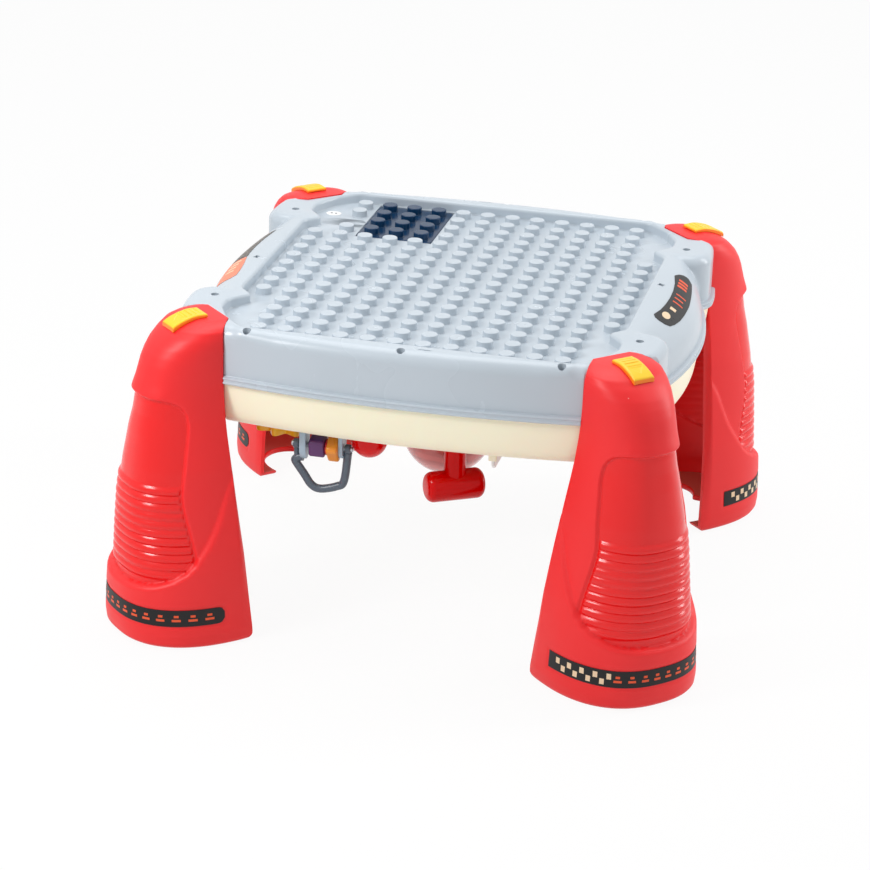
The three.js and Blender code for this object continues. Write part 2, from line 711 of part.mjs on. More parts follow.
// One hollow leg, drawn at the corner on the +X axis
function legShell() {
  const skin = solid(loft(legRows(true).map((row) => legRing(row, 0, 0))));
  const start = innerPlane + running;
  const end = innerPlane + tongue.reach;
  const railInner = tongue.halfWidth + seat;
  const shelfTop = tongueBottom - seat;
  const railTop = leg.height - table.wall / 2;
  const rails = [-1, 1].map((side) => box(
    [start, Math.min(side * railInner, side * (railInner + tongue.rail)), shelfTop - tongue.shelf],
    [end, Math.max(side * railInner, side * (railInner + tongue.rail)), railTop],
  ));
  const shelf = box([start, -tongue.shelfHalf, shelfTop - tongue.shelf], [end, tongue.shelfHalf, shelfTop]);
  const springSeat = box(
    [springEnd + seat, -spring.seatHalf, springZ - spring.radius - seat],
    [springEnd + seat + spring.seatThickness, spring.seatHalf, railTop],
  );
  const slot = box(
    [stemStart - running, -latch.neckHalf - running, springZ + spring.radius],
    [stemEnd + latch.travel + running, latch.neckHalf + running, leg.height + overrun],
  );
  const inner = join([...rails, shelf, springSeat]).intersect(skin);
  return skin.subtract(solid(legHollow())).add(inner).subtract(slot);
}

function latchButton() {
  const steps = [0, 0.2, 0.32, 0.6, 0.885, 1];
  const under = steps.map((share) => {
    const depth = latch.start + latch.length * share;
    return [innerPlane + depth, crownAt(depth) + seat];
  });
  const over = under.map(([x, z]) => [x, z + latch.crown]).reverse();
  const shape = new THREE.Shape([...under, ...over].map(([x, z]) => new THREE.Vector2(x, z)));
  const cap = new THREE.ExtrudeGeometry(shape, { depth: 2 * latch.halfWidth, bevelEnabled: false });
  cap.translate(0, 0, -latch.halfWidth);
  cap.rotateX(Math.PI / 2);
  const stemTop = crownAt(stemEnd - innerPlane) + latch.bed;
  const stem = box([stemStart, -latch.neckHalf, toeBottom], [stemEnd, latch.neckHalf, stemTop]);
  const toe = box(
    [stemStart - running - latch.toe, -latch.neckHalf, toeBottom],
    [stemEnd, latch.neckHalf, toeTop],
  );
  return join([solid(cap), stem, toe]);
}

// A helical spring between two points on a line along +X
class Helix extends THREE.Curve {
  constructor(length, radius, turns) {
    super();
    this.length = length;
    this.radius = radius;
    this.turns = turns;
  }

  getPoint(t, target = new THREE.Vector3()) {
    const angle = 2 * Math.PI * this.turns * t;
    return target.set(this.length * t, this.radius * Math.cos(angle), this.radius * Math.sin(angle));
  }
}

function springGeometry(length) {
  const path = new Helix(length - 2 * spring.wire, spring.radius - spring.wire, spring.turns);
  const section = new THREE.Shape(
    circle(0, 0, spring.wire, spring.sides).map(([x, y]) => new THREE.Vector2(x, y)),
  );
  const steps = spring.turns * spring.stepsPerTurn;
  const geometry = new THREE.ExtrudeGeometry(section, { steps, extrudePath: path, bevelEnabled: false });
  geometry.translate(spring.wire, 0, 0);
  return geometry;
}

function latchSpring() {
  const geometry = springGeometry(springEnd - springStart);
  geometry.translate(springStart, 0, springZ);
  return solid(geometry);
}

// Gears on the underside
const gearPitch = 2 * gearSet.pitchRadius + gearSet.backlash;
const gearTurn = THREE.MathUtils.degToRad(gearSet.turnDeg);
const gearPlaces = [
  [gearSet.x, gearSet.y],
  [gearSet.x + gearPitch * Math.cos(gearTurn), gearSet.y + gearPitch * Math.sin(gearTurn)],
];
const gearTop = panelBottom - gearSet.lift;
const gearBottom = gearTop - gearSet.thickness;
const capTop = gearBottom - seat;

// A gear with round lobes, one lobe or one hollow facing a given direction
function lobedGear([x, y], facing, phase) {
  const steps = gearSet.teeth * gearSet.steps;
  const outline = Array.from({ length: steps }, (_, i) => {
    const angle = (2 * Math.PI * i) / steps;
    const radius = gearSet.pitchRadius + gearSet.lobe * Math.cos(gearSet.teeth * angle + phase);
    return [x + radius * Math.cos(angle + facing), y + radius * Math.sin(angle + facing)];
  });
  const bore = disc(x, y, gearSet.bore, gearBottom - overrun, gearTop + overrun, 12);
  return prism(outline, gearBottom, gearTop).subtract(bore);
}

const gearCap = ([x, y]) => disc(x, y, gearSet.cap, capTop - gearSet.capThickness, capTop, 12)
  .add(disc(x, y, gearSet.pin, capTop - overrun, capTop + gearSet.pinLength, 8));

// Beads and hanging loop
const axleZ = panelBottom - beads.axisDrop;
const lugInnerLeft = beads.left + beads.lug;
const lugInnerRight = beads.right - beads.lug;
const cubeWidth = (lugInnerRight - lugInnerLeft - beads.discThickness - 4 * seat) / 2;
const eyeLeft = beads.left - seat - loop.eyeThickness;
const eyeRight = beads.right + seat;

function beadBracket() {
  const lugs = [beads.left, lugInnerRight].map((x) => box(
    [x, beads.y - beads.lugHalf, axleZ - beads.lugTip],
    [x + beads.lug, beads.y + beads.lugHalf, panelBottom - seat],
  ));
  const base = box([beads.left, beads.y - beads.baseHalf, panelBottom - seat - beads.base],
    [beads.right, beads.y + beads.baseHalf, panelBottom - seat]);
  const hole = rod('x', beads.left - overrun, beads.right + overrun, [beads.y, axleZ], beads.hole, 8);
  return join([base, ...lugs]).subtract(hole);
}

const beadAxle = () => rod('x', eyeLeft - beads.axleSpare, eyeRight + loop.eyeThickness + beads.axleSpare,
  [beads.y, axleZ], beads.axle, 8);

function beadCube(start, turn) {
  const half = beads.cube / 2;
  const low = half - beads.chamfer;
  const profile = [
    [half, -low], [half, low], [low, half], [-low, half], [-half, low], [-half, -low], [-low, -half],
    [low, -half],
  ];
  const geometry = new THREE.ExtrudeGeometry(
    new THREE.Shape(profile.map(([y, z]) => new THREE.Vector2(y, z))),
    { depth: cubeWidth, bevelEnabled: false },
  );
  geometry.rotateZ(turn);
  geometry.rotateX(Math.PI / 2);
  geometry.rotateZ(Math.PI / 2);
  geometry.translate(start, beads.y, axleZ);
  const hole = rod('x', start - overrun, start + cubeWidth + overrun, [beads.y, axleZ], beads.hole, 8);
  return solid(geometry).subtract(hole);
}

function beadDisc(start) {
  const end = start + beads.discThickness;
  const hole = rod('x', start - overrun, end + overrun, [beads.y, axleZ], beads.hole, 8);
  return rod('x', start, end, [beads.y, axleZ], beads.disc, 10).subtract(hole);
}

// The hanging loop's middle line: shares of its width from the left arm, and of its drop
const loopLineShares = [
  [0, 0.08], [-0.01, 0.34], [0.15, 0.67], [0.3, 0.93], [0.48, 1], [0.79, 0.9], [0.93, 0.75], [1, 0.08],
];

function hangingLoop() {
  const left = eyeLeft + loop.eyeThickness / 2;
  const right = eyeRight + loop.eyeThickness / 2;
  const points = loopLineShares.map(([across, down]) => new THREE.Vector3(
    left + (right - left) * across, beads.y, axleZ - loop.drop * down,
  ));
  const path = new THREE.CatmullRomCurve3(points);
  const section = new THREE.Shape(
    circle(0, 0, loop.rod, loop.sides).map(([x, y]) => new THREE.Vector2(x, y)),
  );
  const geometry = new THREE.ExtrudeGeometry(
    section,
    { steps: loop.steps, extrudePath: path, bevelEnabled: false },
  );
  const eyes = [eyeLeft, eyeRight].map((x) => rod(
    'x', x, x + loop.eyeThickness, [beads.y, axleZ], loop.eye, 12,
  ));
  const hole = rod(
    'x', eyeLeft - overrun, eyeRight + loop.eyeThickness + overrun, [beads.y, axleZ], beads.hole, 8,
  );
  return join([solid(geometry), ...eyes]).subtract(hole);
}

// Red push button with its spring and bridge
const redTop = panelTop + running + redButton.flangeThickness;
const bridgeZ = redTop + seat + redButton.springLength + seat;

function redDomeButton() {
  const { x, y, radius, reach, flange, sides } = redButton;
  const bottom = panelBottom - reach;
  const arc = [0, 0.3, 0.6, 0.85, 1].map((share) => {
    const angle = (Math.PI / 2) * share;
    return [radius * Math.sin(angle), bottom + radius * (1 - Math.cos(angle))];
  });
  const body = turned([...arc, [radius, redTop], [0, redTop]], x, y, sides);
  return body.add(disc(x, y, flange, panelTop + running, redTop, sides));
}

function redButtonSpring() {
  const geometry = springGeometry(redButton.springLength);
  geometry.rotateY(-Math.PI / 2);
  geometry.translate(redButton.x, redButton.y, redTop + seat);
  return solid(geometry);
}

const redButtonBridge = () => box(
  [redButton.x - redButton.bridgeHalf, redButton.y - redButton.post, bridgeZ],
  [redButton.x + redButton.bridgeHalf, redButton.y + redButton.post, bridgeZ + redButton.bridge],
);

// Turning handle
function turningHandle() {
  const { x, y, handle, handleLength, fillet, sides } = turnKey;
  const half = handleLength / 2;
  const inner = handle - fillet;
  const profile = [
    [0, -half], [inner, -half], [handle, fillet - half], [handle, half - fillet], [inner, half], [0, half],
  ];
  const bar = new THREE.LatheGeometry(profile.map(([r, h]) => new THREE.Vector2(r, h)), sides);
  bar.rotateZ(-Math.PI / 2);
  bar.rotateZ(THREE.MathUtils.degToRad(turnKey.angleDeg));
  bar.translate(x, y, panelBottom - turnKey.drop);
  const stem = disc(x, y, turnKey.stem, panelBottom - turnKey.drop, panelTop + seat / 3, sides);
  const neck = disc(x, y, turnKey.neck, panelTop - overrun, panelTop + turnKey.neckLength, 10);
  return join([solid(bar), stem, neck]);
}

function ring(x, y, inner, outer, bottom, top, sides) {
  const hole = disc(x, y, inner, bottom - overrun, top + overrun, sides);
  return disc(x, y, outer, bottom, top, sides).subtract(hole);
}

const handleWasher = () => ring(turnKey.x, turnKey.y, turnKey.neck + seat, turnKey.washer,
  panelTop + seat, panelTop + seat + redButton.flangeThickness, 12);

// Light dome and its lamp
function lightDome() {
  const centre = panelBottom - dome.sink;
  const top = panelBottom - seat;
  const arc = (radius) => Array.from({ length: dome.rows + 1 }, (_, i) => {
    const end = Math.asin((top - centre) / radius);
    const angle = -Math.PI / 2 + ((end + Math.PI / 2) * i) / dome.rows;
    return [radius * Math.cos(angle) * (i ? 1 : 0), centre + radius * Math.sin(angle)];
  });
  const profile = [...arc(dome.radius), ...arc(dome.radius - dome.wall).reverse()];
  return turned(profile, dome.x, dome.y, dome.sides);
}

const lampBoardZ = panelTop + lamp.boardRise + seat;

// The lamp hangs from its board into the dome
function lampBoard() {
  const card = box([dome.x - lamp.boardX / 2, dome.y - lamp.boardY / 2, lampBoardZ],
    [dome.x + lamp.boardX / 2, dome.y + lamp.boardY / 2, lampBoardZ + board.thickness]);
  const low = lampBoardZ - lamp.length;
  return card.add(disc(dome.x, dome.y, lamp.radius, low, lampBoardZ + board.thickness / 2, 10));
}

// Hanging flap
const flapZ = panelBottom - flap.drop;
const flapFront = flap.y - flap.width / 2;
const flapBack = flap.y + flap.width / 2;
const flapReach = flap.lug + running;

function hangingFlap() {
  const half = flap.thickness / 2;
  const leaf = box([flap.x - half, flapFront, flapZ - flap.length], [flap.x + half, flapBack, flapZ]);
  const barrel = rod('y', flapFront, flapBack, [flap.x, flapZ], flap.barrel, 10);
  const pins = rod('y', flapFront - flapReach, flapBack + flapReach, [flap.x, flapZ], flap.pin, 8);
  return join([leaf, barrel, pins]);
}

// Keyboard
const keyX = (index) => (index - (key.count - 1) / 2) * key.pitch;
const keyTop = panelBottom + key.inner;
const keyPivotZ = panelBottom + key.pivotRise;
const keyPlankHalf = ((key.count - 1) * key.pitch + key.width) / 2;
const keyPostX = keyPlankHalf + key.lip + board.post;
const rubberZ = keyTop + key.padSpace;
const keyBoardZ = rubberZ + strip.rubber + seat;

function pianoKey(index) {
  const x = keyX(index);
  const half = key.width / 2;
  const plank = box([x - half, key.front, panelBottom - key.reach], [x + half, key.back, keyTop]);
  const lipBottom = panelTop + running;
  const lip = box(
    [x - half, key.front - key.lip, lipBottom],
    [x + half, key.front + overrun, lipBottom + key.lipThickness],
  );
  const armBottom = keyPivotZ - key.armHeight / 2;
  const arm = box([x - key.armHalf, key.back - overrun, armBottom],
    [x + key.armHalf, key.pivotY + key.armHeight / 2, armBottom + key.armHeight]);
  const root = box([x - key.armHalf, key.back - key.armRoot, keyTop - overrun],
    [x + key.armHalf, key.back, armBottom + key.armHeight]);
  const hole = rod('x', x - half, x + half, [key.pivotY, keyPivotZ], key.hole, 8);
  return join([plank, lip, arm, root]).subtract(hole);
}

const keyRodEnd = keyPlankHalf + key.lip + key.endRib + running;
const keyRod = () => rod('x', -keyRodEnd, keyRodEnd, [key.pivotY, keyPivotZ], key.rod, 8);

function keyRubber() {
  return box([-keyPlankHalf, key.front + strip.margin, rubberZ],
    [keyPlankHalf, key.front + strip.margin + key.width / 2, rubberZ + strip.rubber]);
}

const keyBoardHalf = keyPostX + board.post;
const keyBoardBack = key.front + key.width;
const keyBoard = () => box(
  [-keyBoardHalf, key.front, keyBoardZ],
  [keyBoardHalf, keyBoardBack, keyBoardZ + board.thickness],
);

// Round mode buttons on the right lobe
// Each button presses a switch that hangs from the circuit board
const knobY = (index) => (index - (knob.count - 1) / 2) * knob.spread;
const knobTop = panelTop + running + knob.flangeThickness;
const knobSwitchZ = knobTop + knob.travel + seat;

function modeButton(index) {
  const y = knobY(index);
  return join([
    disc(knob.x, y, knob.radius, panelBottom - knob.reach, knobTop, 14),
    disc(knob.x, y, knob.flange, panelTop + running, knobTop, 14),
  ]);
}

// Slide switch on the left lobe, stored at the front end of its travel
const sliderY = -slider.travel / 2;
const sliderPlateZ = panelTop + running;
const sliderRailInner = slider.plateHalfX + running;
const sliderRailOuter = sliderRailInner + slider.side;
const sliderRailTop = sliderPlateZ + slider.plate + seat;
const sliderPlateHalfY = slider.halfY + slider.travel / 2 + slider.side;

function switchKnob() {
  return join([
    box([slider.x - slider.halfX, sliderY - slider.halfY, panelBottom - slider.reach],
      [slider.x + slider.halfX, sliderY + slider.halfY, sliderPlateZ + slider.plate]),
    box([slider.x - slider.plateHalfX, sliderY - sliderPlateHalfY, sliderPlateZ],
      [slider.x + slider.plateHalfX, sliderY + sliderPlateHalfY, sliderPlateZ + slider.plate]),
  ]);
}

const sliderSpan = sliderPlateHalfY + slider.travel / 2 + slider.side;
const switchBody = () => box([slider.x - sliderRailOuter, -sliderSpan, sliderRailTop + seat],
  [slider.x + sliderRailOuter, sliderSpan, sliderRailTop + seat + slider.body]);

// Loudspeaker
function loudspeaker() {
  const low = panelTop + seat;
  const { radius, rim, basket, magnet, magnetHeight, sides } = speaker;
  const cone = radius - rim;
  const profile = [
    [0, low + basket - table.wall], [magnet / 2, low + basket - table.wall], [cone, low], [radius, low],
    [radius, low + rim], [magnet, low + basket + rim], [magnet, low + basket + magnetHeight],
    [0, low + basket + magnetHeight],
  ];
  return turned(profile, speaker.x, speaker.y, sides);
}

// Main circuit board
const boardZ = panelTop + board.rise + seat;

function circuitBoard() {
  const { x, y, width, depth, thickness } = board;
  const top = boardZ + thickness;
  return join([
    box([x - width / 2, y - depth / 2, boardZ], [x + width / 2, y + depth / 2, top]),
    box(
      [x - chip.width / 2, y - chip.depth / 2, top - thickness / 2],
      [x + chip.width / 2, y + chip.depth / 2, top + chip.height],
    ),
    disc(x + chip.width, y + chip.depth, chip.canRadius, top - thickness / 2, top + chip.canHeight, 10),
    disc(x - chip.width, y - chip.depth, chip.canRadius, top - thickness / 2, top + chip.canHeight, 10),
    ...counted(knob.count).map((i) => disc(
      knob.x, knobY(i), board.switchRadius, knobSwitchZ, boardZ + thickness / 2, 8,
    )),
  ]);
}

// Lower shell, with the posts, ribs and openings for everything it carries
function lowerPosts() {
  const foot = panelBottom + table.wall / 2;
  const post = (x, y, top) => disc(x, y, board.post, foot, top, 8);
  const boardPosts = [-1, 1].flatMap((sx) => [-1, 1].map((sy) => post(
    board.x + sx * board.postSpread, board.y + sy * (board.depth / 2 - board.postInset), boardZ - seat,
  )));
  const keyPosts = [-1, 1].map((side) => post(
    side * keyPostX, key.front + board.postInset, keyBoardZ - seat,
  ));
  const lampPosts = [-1, 1].map((side) => post(
    dome.x + side * (lamp.boardX / 2 - board.postInset), dome.y, lampBoardZ - seat,
  ));
  const redPosts = [-1, 1].map((side) => post(
    redButton.x + side * redButton.postSpread,
    redButton.y,
    bridgeZ - seat,
  ));
  return [...boardPosts, ...keyPosts, ...lampPosts, ...redPosts];
}

function keyRibs() {
  const half = key.endRib / 2;
  const places = [-1, 1].map((side) => side * (keyPlankHalf + key.lip + half));
  const top = keyPivotZ + key.armHeight / 2;
  const body = (x) => box(
    [x - half, key.pivotY - key.armHeight, panelBottom + half],
    [x + half, key.pivotY + key.armHeight, top],
  );
  const hole = rod('x', -keyRodEnd - overrun, keyRodEnd + overrun, [key.pivotY, keyPivotZ], key.hole, 8);
  return places.map((x) => body(x).subtract(hole));
}

function flapLugs() {
  const body = (front) => box(
    [flap.x - flap.barrel, front, flapZ - flap.barrel],
    [flap.x + flap.barrel, front + flap.lug, panelTop],
  );
  const hole = rod(
    'y', flapFront - flapReach - overrun, flapBack + flapReach + overrun, [flap.x, flapZ], flap.hole, 8,
  );
  return [flapFront - flapReach, flapBack + running].map((front) => body(front).subtract(hole));
}

function gearPosts() {
  return gearPlaces.map(([x, y]) => {
    const post = disc(x, y, gearSet.post, capTop + seat, panelTop, 12);
    const boss = disc(x, y, gearSet.cap, gearTop + running, panelTop, 12);
    const hole = disc(x, y, gearSet.pinHole, capTop, capTop + gearSet.pinLength + seat, 8);
    return post.add(boss).subtract(hole);
  });
}

function panelCuts() {
  const low = panelBottom - redButton.collarHeight - overrun;
  const high = panelTop + overrun;
  const through = (x, y, radius, sides) => disc(x, y, radius + running, low, high, sides);
  const keys = counted(key.count).map((i) => box(
    [keyX(i) - key.width / 2 - running, key.front - key.swing, low],
    [keyX(i) + key.width / 2 + running, key.back + running, high],
  ));
  const knobs = counted(knob.count).map((i) => through(knob.x, knobY(i), knob.radius, 14));
  const grille = counted(speaker.slots).map((i) => {
    const y = speaker.y + (i - (speaker.slots - 1) / 2) * speaker.slotPitch;
    return box([speaker.x - speaker.slotLength / 2, y - speaker.slotWidth / 2, low],
      [speaker.x + speaker.slotLength / 2, y + speaker.slotWidth / 2, high]);
  });
  const slot = box([slider.x - slider.halfX - running, -slider.halfY - slider.travel / 2 - running, low],
    [slider.x + slider.halfX + running, slider.halfY + slider.travel / 2 + running, high]);
  return [
    ...keys, ...knobs, ...grille, slot,
    through(redButton.x, redButton.y, redButton.radius, redButton.sides),
    through(turnKey.x, turnKey.y, turnKey.stem, turnKey.sides),
    disc(dome.x, dome.y, dome.window, low, high, dome.sides),
  ];
}

function lowerShell() {
  const { topInset, wallInset, turnInset, footInset, wallRise, turnRise } = lower;
  const levels = [
    [panelBottom, -footInset, 1], [panelBottom + turnRise, -turnInset, 1],
    [panelBottom + wallRise, -wallInset, 1], [lowerTop, -topInset, 1],
  ];
  const outer = solid(loft(levels.map(shellRing)));
  const grown = seat + table.wall;
  const keepOut = corners.map((turn) => atCorner(legEnvelope(grown, -grown, overrun), turn));
  const cavity = shellCavity([
    [panelTop, -turnInset, 1], [panelBottom + wallRise, -wallInset, 1], [lowerTop + overrun, -topInset, 1],
  ], keepOut);
  const clear = corners.map((turn) => atCorner(legEnvelope(seat, -seat, overrun), turn));
  const bosses = screwPlaces.map(([x, y]) => disc(
    x, y, screw.boss, panelBottom + table.wall / 2, lowerTop, screw.sides,
  ));
  const drill = screwPlaces.map(([x, y]) => disc(
    x, y, screw.bore, seam - screw.bite - overrun, seam, screw.sides,
  ));
  const ribInner = speaker.radius + running;
  const speakerRib = ring(speaker.x, speaker.y, ribInner, ribInner + speaker.ring,
    panelBottom + table.wall / 2, panelTop + speaker.ringHeight, speaker.sides);
  const rails = [-1, 1].map((side) => box(
    [
      slider.x + Math.min(side * sliderRailInner, side * sliderRailOuter),
      -sliderSpan,
      panelBottom + table.wall / 2,
    ],
    [slider.x + Math.max(side * sliderRailInner, side * sliderRailOuter), sliderSpan, sliderRailTop],
  ));
  const collar = disc(redButton.x, redButton.y, redButton.radius + running + redButton.collar,
    panelBottom - redButton.collarHeight, panelTop, redButton.sides);
  const restPad = disc(pad.x, pad.y, pad.radius, panelBottom - pad.height, panelTop, 12);
  let body = outer.subtract(cavity).add(join(bosses).intersect(outer));
  body = cut(body, [...clear, ...drill]);
  body = join([body, speakerRib, ...rails, collar, restPad, ...lowerPosts()]);
  body = cut(body, panelCuts());
  return join([body, ...keyRibs(), ...flapLugs(), ...gearPosts()]);
}

// Assembly
const group = new THREE.Group();
const place = (name, body, finish) => group.add(piece(name, body, finish));

place('stud_deck', studDeck(), look.deckGrey);
place('lower_shell', lowerShell(), look.cream);
place('battery_door', batteryDoor(), look.navy);
place('battery_tray', batteryTray(), look.deckGrey);
place('contact_strip_front', contactStrip(-1), look.brass);
place('contact_strip_back', contactStrip(1), look.brass);
counted(cell.count).forEach((i) => place(`battery_cell_${i + 1}`, batteryCell(i), look.green));
screwPlaces.forEach((at, i) => place(`shell_screw_${i + 1}`, shellScrew(at), look.steel));

Object.entries(legTurns).forEach(([corner, turn]) => {
  const station = new THREE.Group();
  station.rotation.z = turn;
  station.add(piece(`leg_${corner}`, legShell(), look.red));
  station.add(piece(`latch_button_${corner}`, latchButton(), look.yellow));
  station.add(piece(`latch_spring_${corner}`, latchSpring(), look.steel));
  group.add(station);
});

place('gear_yellow', lobedGear(gearPlaces[0], gearTurn, 0), look.yellow);
place('gear_blue', lobedGear(gearPlaces[1], gearTurn + Math.PI, Math.PI), look.blue);
gearPlaces.forEach((at, i) => place(`gear_cap_${i + 1}`, gearCap(at), look.orange));
place('bead_bracket', beadBracket(), look.paleBlue);
place('bead_axle', beadAxle(), look.steel);
place('bead_purple', beadCube(lugInnerLeft + seat, Math.PI / 6), look.purple);
place('bead_red', beadDisc(lugInnerLeft + cubeWidth + 2 * seat), look.red);
place('bead_orange', beadCube(lugInnerRight - seat - cubeWidth, Math.PI / 4), look.orange);
place('hanging_loop', hangingLoop(), look.slate);
place('dome_button', redDomeButton(), look.red);
place('dome_button_spring', redButtonSpring(), look.steel);
place('dome_button_bridge', redButtonBridge(), look.cream);
place('turning_handle', turningHandle(), look.red);
place('handle_washer', handleWasher(), look.white);
place('light_dome', lightDome(), look.clearRed);
place('lamp_board', lampBoard(), look.green);
place('hanging_flap', hangingFlap(), look.white);
counted(key.count).forEach((i) => place(`piano_key_${i + 1}`, pianoKey(i), look.white));
place('key_rod', keyRod(), look.steel);
place('key_rubber', keyRubber(), look.rubber);
place('key_board', keyBoard(), look.green);
counted(knob.count).forEach((i) => place(`mode_button_${i + 1}`, modeButton(i), look.orange));
place('switch_knob', switchKnob(), look.navy);
place('switch_body', switchBody(), look.black);
place('loudspeaker', loudspeaker(), look.black);
place('circuit_board', circuitBoard(), look.green);

export default group;
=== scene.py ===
"""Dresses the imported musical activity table: shells, studs, legs, latches and the toys below."""

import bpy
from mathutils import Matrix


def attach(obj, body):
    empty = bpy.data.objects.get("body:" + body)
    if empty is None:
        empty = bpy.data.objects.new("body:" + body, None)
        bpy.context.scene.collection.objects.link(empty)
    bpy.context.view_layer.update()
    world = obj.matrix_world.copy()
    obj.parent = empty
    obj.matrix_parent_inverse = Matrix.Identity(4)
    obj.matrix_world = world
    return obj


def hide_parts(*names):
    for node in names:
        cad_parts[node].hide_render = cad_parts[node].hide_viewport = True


bl_info = {
    "name": "Activity Table",
    "version": (1, 0, 0),
    "blender": (4, 5, 0),
    "location": "View3D > Sidebar > Activity Table",
    "description": "Builds the moulded pieces, finishes and studio of a children's activity table",
    "category": "Object",
}

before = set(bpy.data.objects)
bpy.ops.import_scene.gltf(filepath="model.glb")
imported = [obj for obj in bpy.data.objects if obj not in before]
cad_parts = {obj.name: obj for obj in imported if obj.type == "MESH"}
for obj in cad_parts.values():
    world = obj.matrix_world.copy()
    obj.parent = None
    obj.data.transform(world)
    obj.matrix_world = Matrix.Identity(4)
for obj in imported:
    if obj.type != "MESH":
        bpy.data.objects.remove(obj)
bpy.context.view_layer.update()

import math

import bmesh
import bpy
import numpy as np
from bpy.props import FloatProperty, FloatVectorProperty, PointerProperty
from mathutils import Matrix, Vector
from mathutils.geometry import tessellate_polygon

MM = 0.001
TURN = 2 * math.pi
WHITE = (1, 1, 1, 1)
FLOOR_GLOW = 0.93

# Camera in metres, and lamps: place, target and size
CAMERA = {"place": (0.353487, -1.608479, 0.755206), "ahead": (-0.204279, 0.902639, -0.378831),
          "right": (0.971989, 0.232977, 0.030983), "lens": 120.475, "sensor": 36.0}
LAMPS = {
    "overhead": ("overhead_softbox", (-0.25, 0.35, 1.7), (0, 0.02, 0.15), (1.5, 1.1)),
    "key": ("key_softbox", (-0.48, -0.55, 0.62), (0, -0.05, 0.12), (0.22, 0.22)),
    "side": ("right_strip", (1.0, 0.45, 0.6), (0.08, 0.05, 0.10), (0.25, 0.9))}

# Plan of the two shells, in millimetres, the same as the solids'
FRONT_REACH, FRONT_BOW, CORNER_X, CORNER_Y = 145.0, 646.0, 103.0, 103.0
LOBE_REACH, LOBE_INNER, LOBE_BOW = 146.5, 117.5, 240.0
EAR_REACH, EAR_CORNER, EAR_BOW, VALLEY_Y = 141.0, 15.0, 138.0, 67.0
EAR_X, EAR_Y = EAR_REACH - EAR_CORNER, VALLEY_Y + EAR_CORNER
RECESS = [(113.8, 0), (113.8, 67), (104.9, 76), (115.2, 88.5), (115.2, 101), (107.1, 117.5), (95, 130),
          (0, 130)]
RECESS_FRONT = ([0, 95, 107.1, 115.2], [130, 130, 117.5, 101])
EDGES = {"lobe": 1.4, "ear": 6.0, "front": 8.0, "rim": 2.2}

# Levels
LEG_TOP, RIM_TOP, STUD_TOP, PLATE_TOP, PLATE_BOTTOM = 188.2, 187.3, 185.0, 180.7, 178.2
LIP_TOP, SEAM, LOWER_TOP, PANEL_TOP, PANEL_BOTTOM = 158.5, 154.0, 153.7, 130.6, 128.0
WALL = 2.6

# Studs and battery door
PITCH, COLUMNS, ROWS, OUTER_ROWS = 16.0, 12, 16, 8
DOOR = {"column": 1, "columns": 3, "row": 12, "rows": 4}
CATCH = {"spread": 18, "half": 4, "root": 3.4, "reach": 2.5, "drop": 2.4}
SCOOP = {"column": 0, "row": 13, "radius": 7.2, "depth": 4.6}

# Screws and small marks in the rim
SCREWS = [(sx * 124.9, sy * 84.8) for sx in (-1, 1) for sy in (-1, 1)] + [(0, -139.6), (0, 139.6)]
RIM_HOLES = [(sx * 90.2, sy * 135.2) for sx in (-1, 1) for sy in (-1, 1)]
SCREW_SEAT = RIM_TOP - 21.0
BOSS, HOLE = 4.0, 2.4
SPARK = [(2.7, 0), (1.1, 1.1), (0, 2.9), (-1.1, 1.1), (-2.7, 0), (-1.1, -1.1), (0, -2.9), (1.1, -1.1)]
SPARKS = ((-121.6, -11.4, 0.3), (120.6, 15.4, 0.5))
SLITS = ((12.9, -136.4), (-13.1, 138.1))
MARKED_STUDS = {(9, 3), (11, 5), (4, 4), (7, 9)}

# The deck's lip: height over the seam, and reach of its two beads past the wall
LIP_BEADS = [
    (0, 1.8), (0.15, 2.2), (0.45, 2.5), (0.8, 2.6), (1.15, 2.5), (1.45, 2.2), (1.7, 1.95), (2.2, 1.9),
    (2.7, 2.0), (3.0, 2.3), (3.35, 2.45), (3.7, 2.4), (4.05, 2.1), (4.3, 1.5), (4.45, 0.8), (4.5, 0.2),
    (4.75, 0.0)]
RIM_LEVELS = [179.5, 180.6, 181.6, 182.5, 183.3, 184.1, 184.8, 185.4, 185.9, 186.3, 186.6, 186.85,
              187.05, 187.2, 187.27]

# The lower shell's belly: height, and reach past the wall's line
BELLY = [
    (128.0, -9.6), (128.12, -8.6), (128.45, -7.6), (129.0, -6.6), (129.8, -5.6), (130.8, -4.75),
    (132.0, -4.0), (133.5, -3.35), (135.5, -2.75), (138.5, -2.2), (142.5, -1.6), (147.0, -1.05),
    (152.0, -0.6), (153.4, -0.5), (LOWER_TOP, -0.8)]
BELLY_ROOM = [(PANEL_TOP, -5.6), (132.5, -4.0), (136.0, -2.7), (LOWER_TOP + 1, -0.6)]

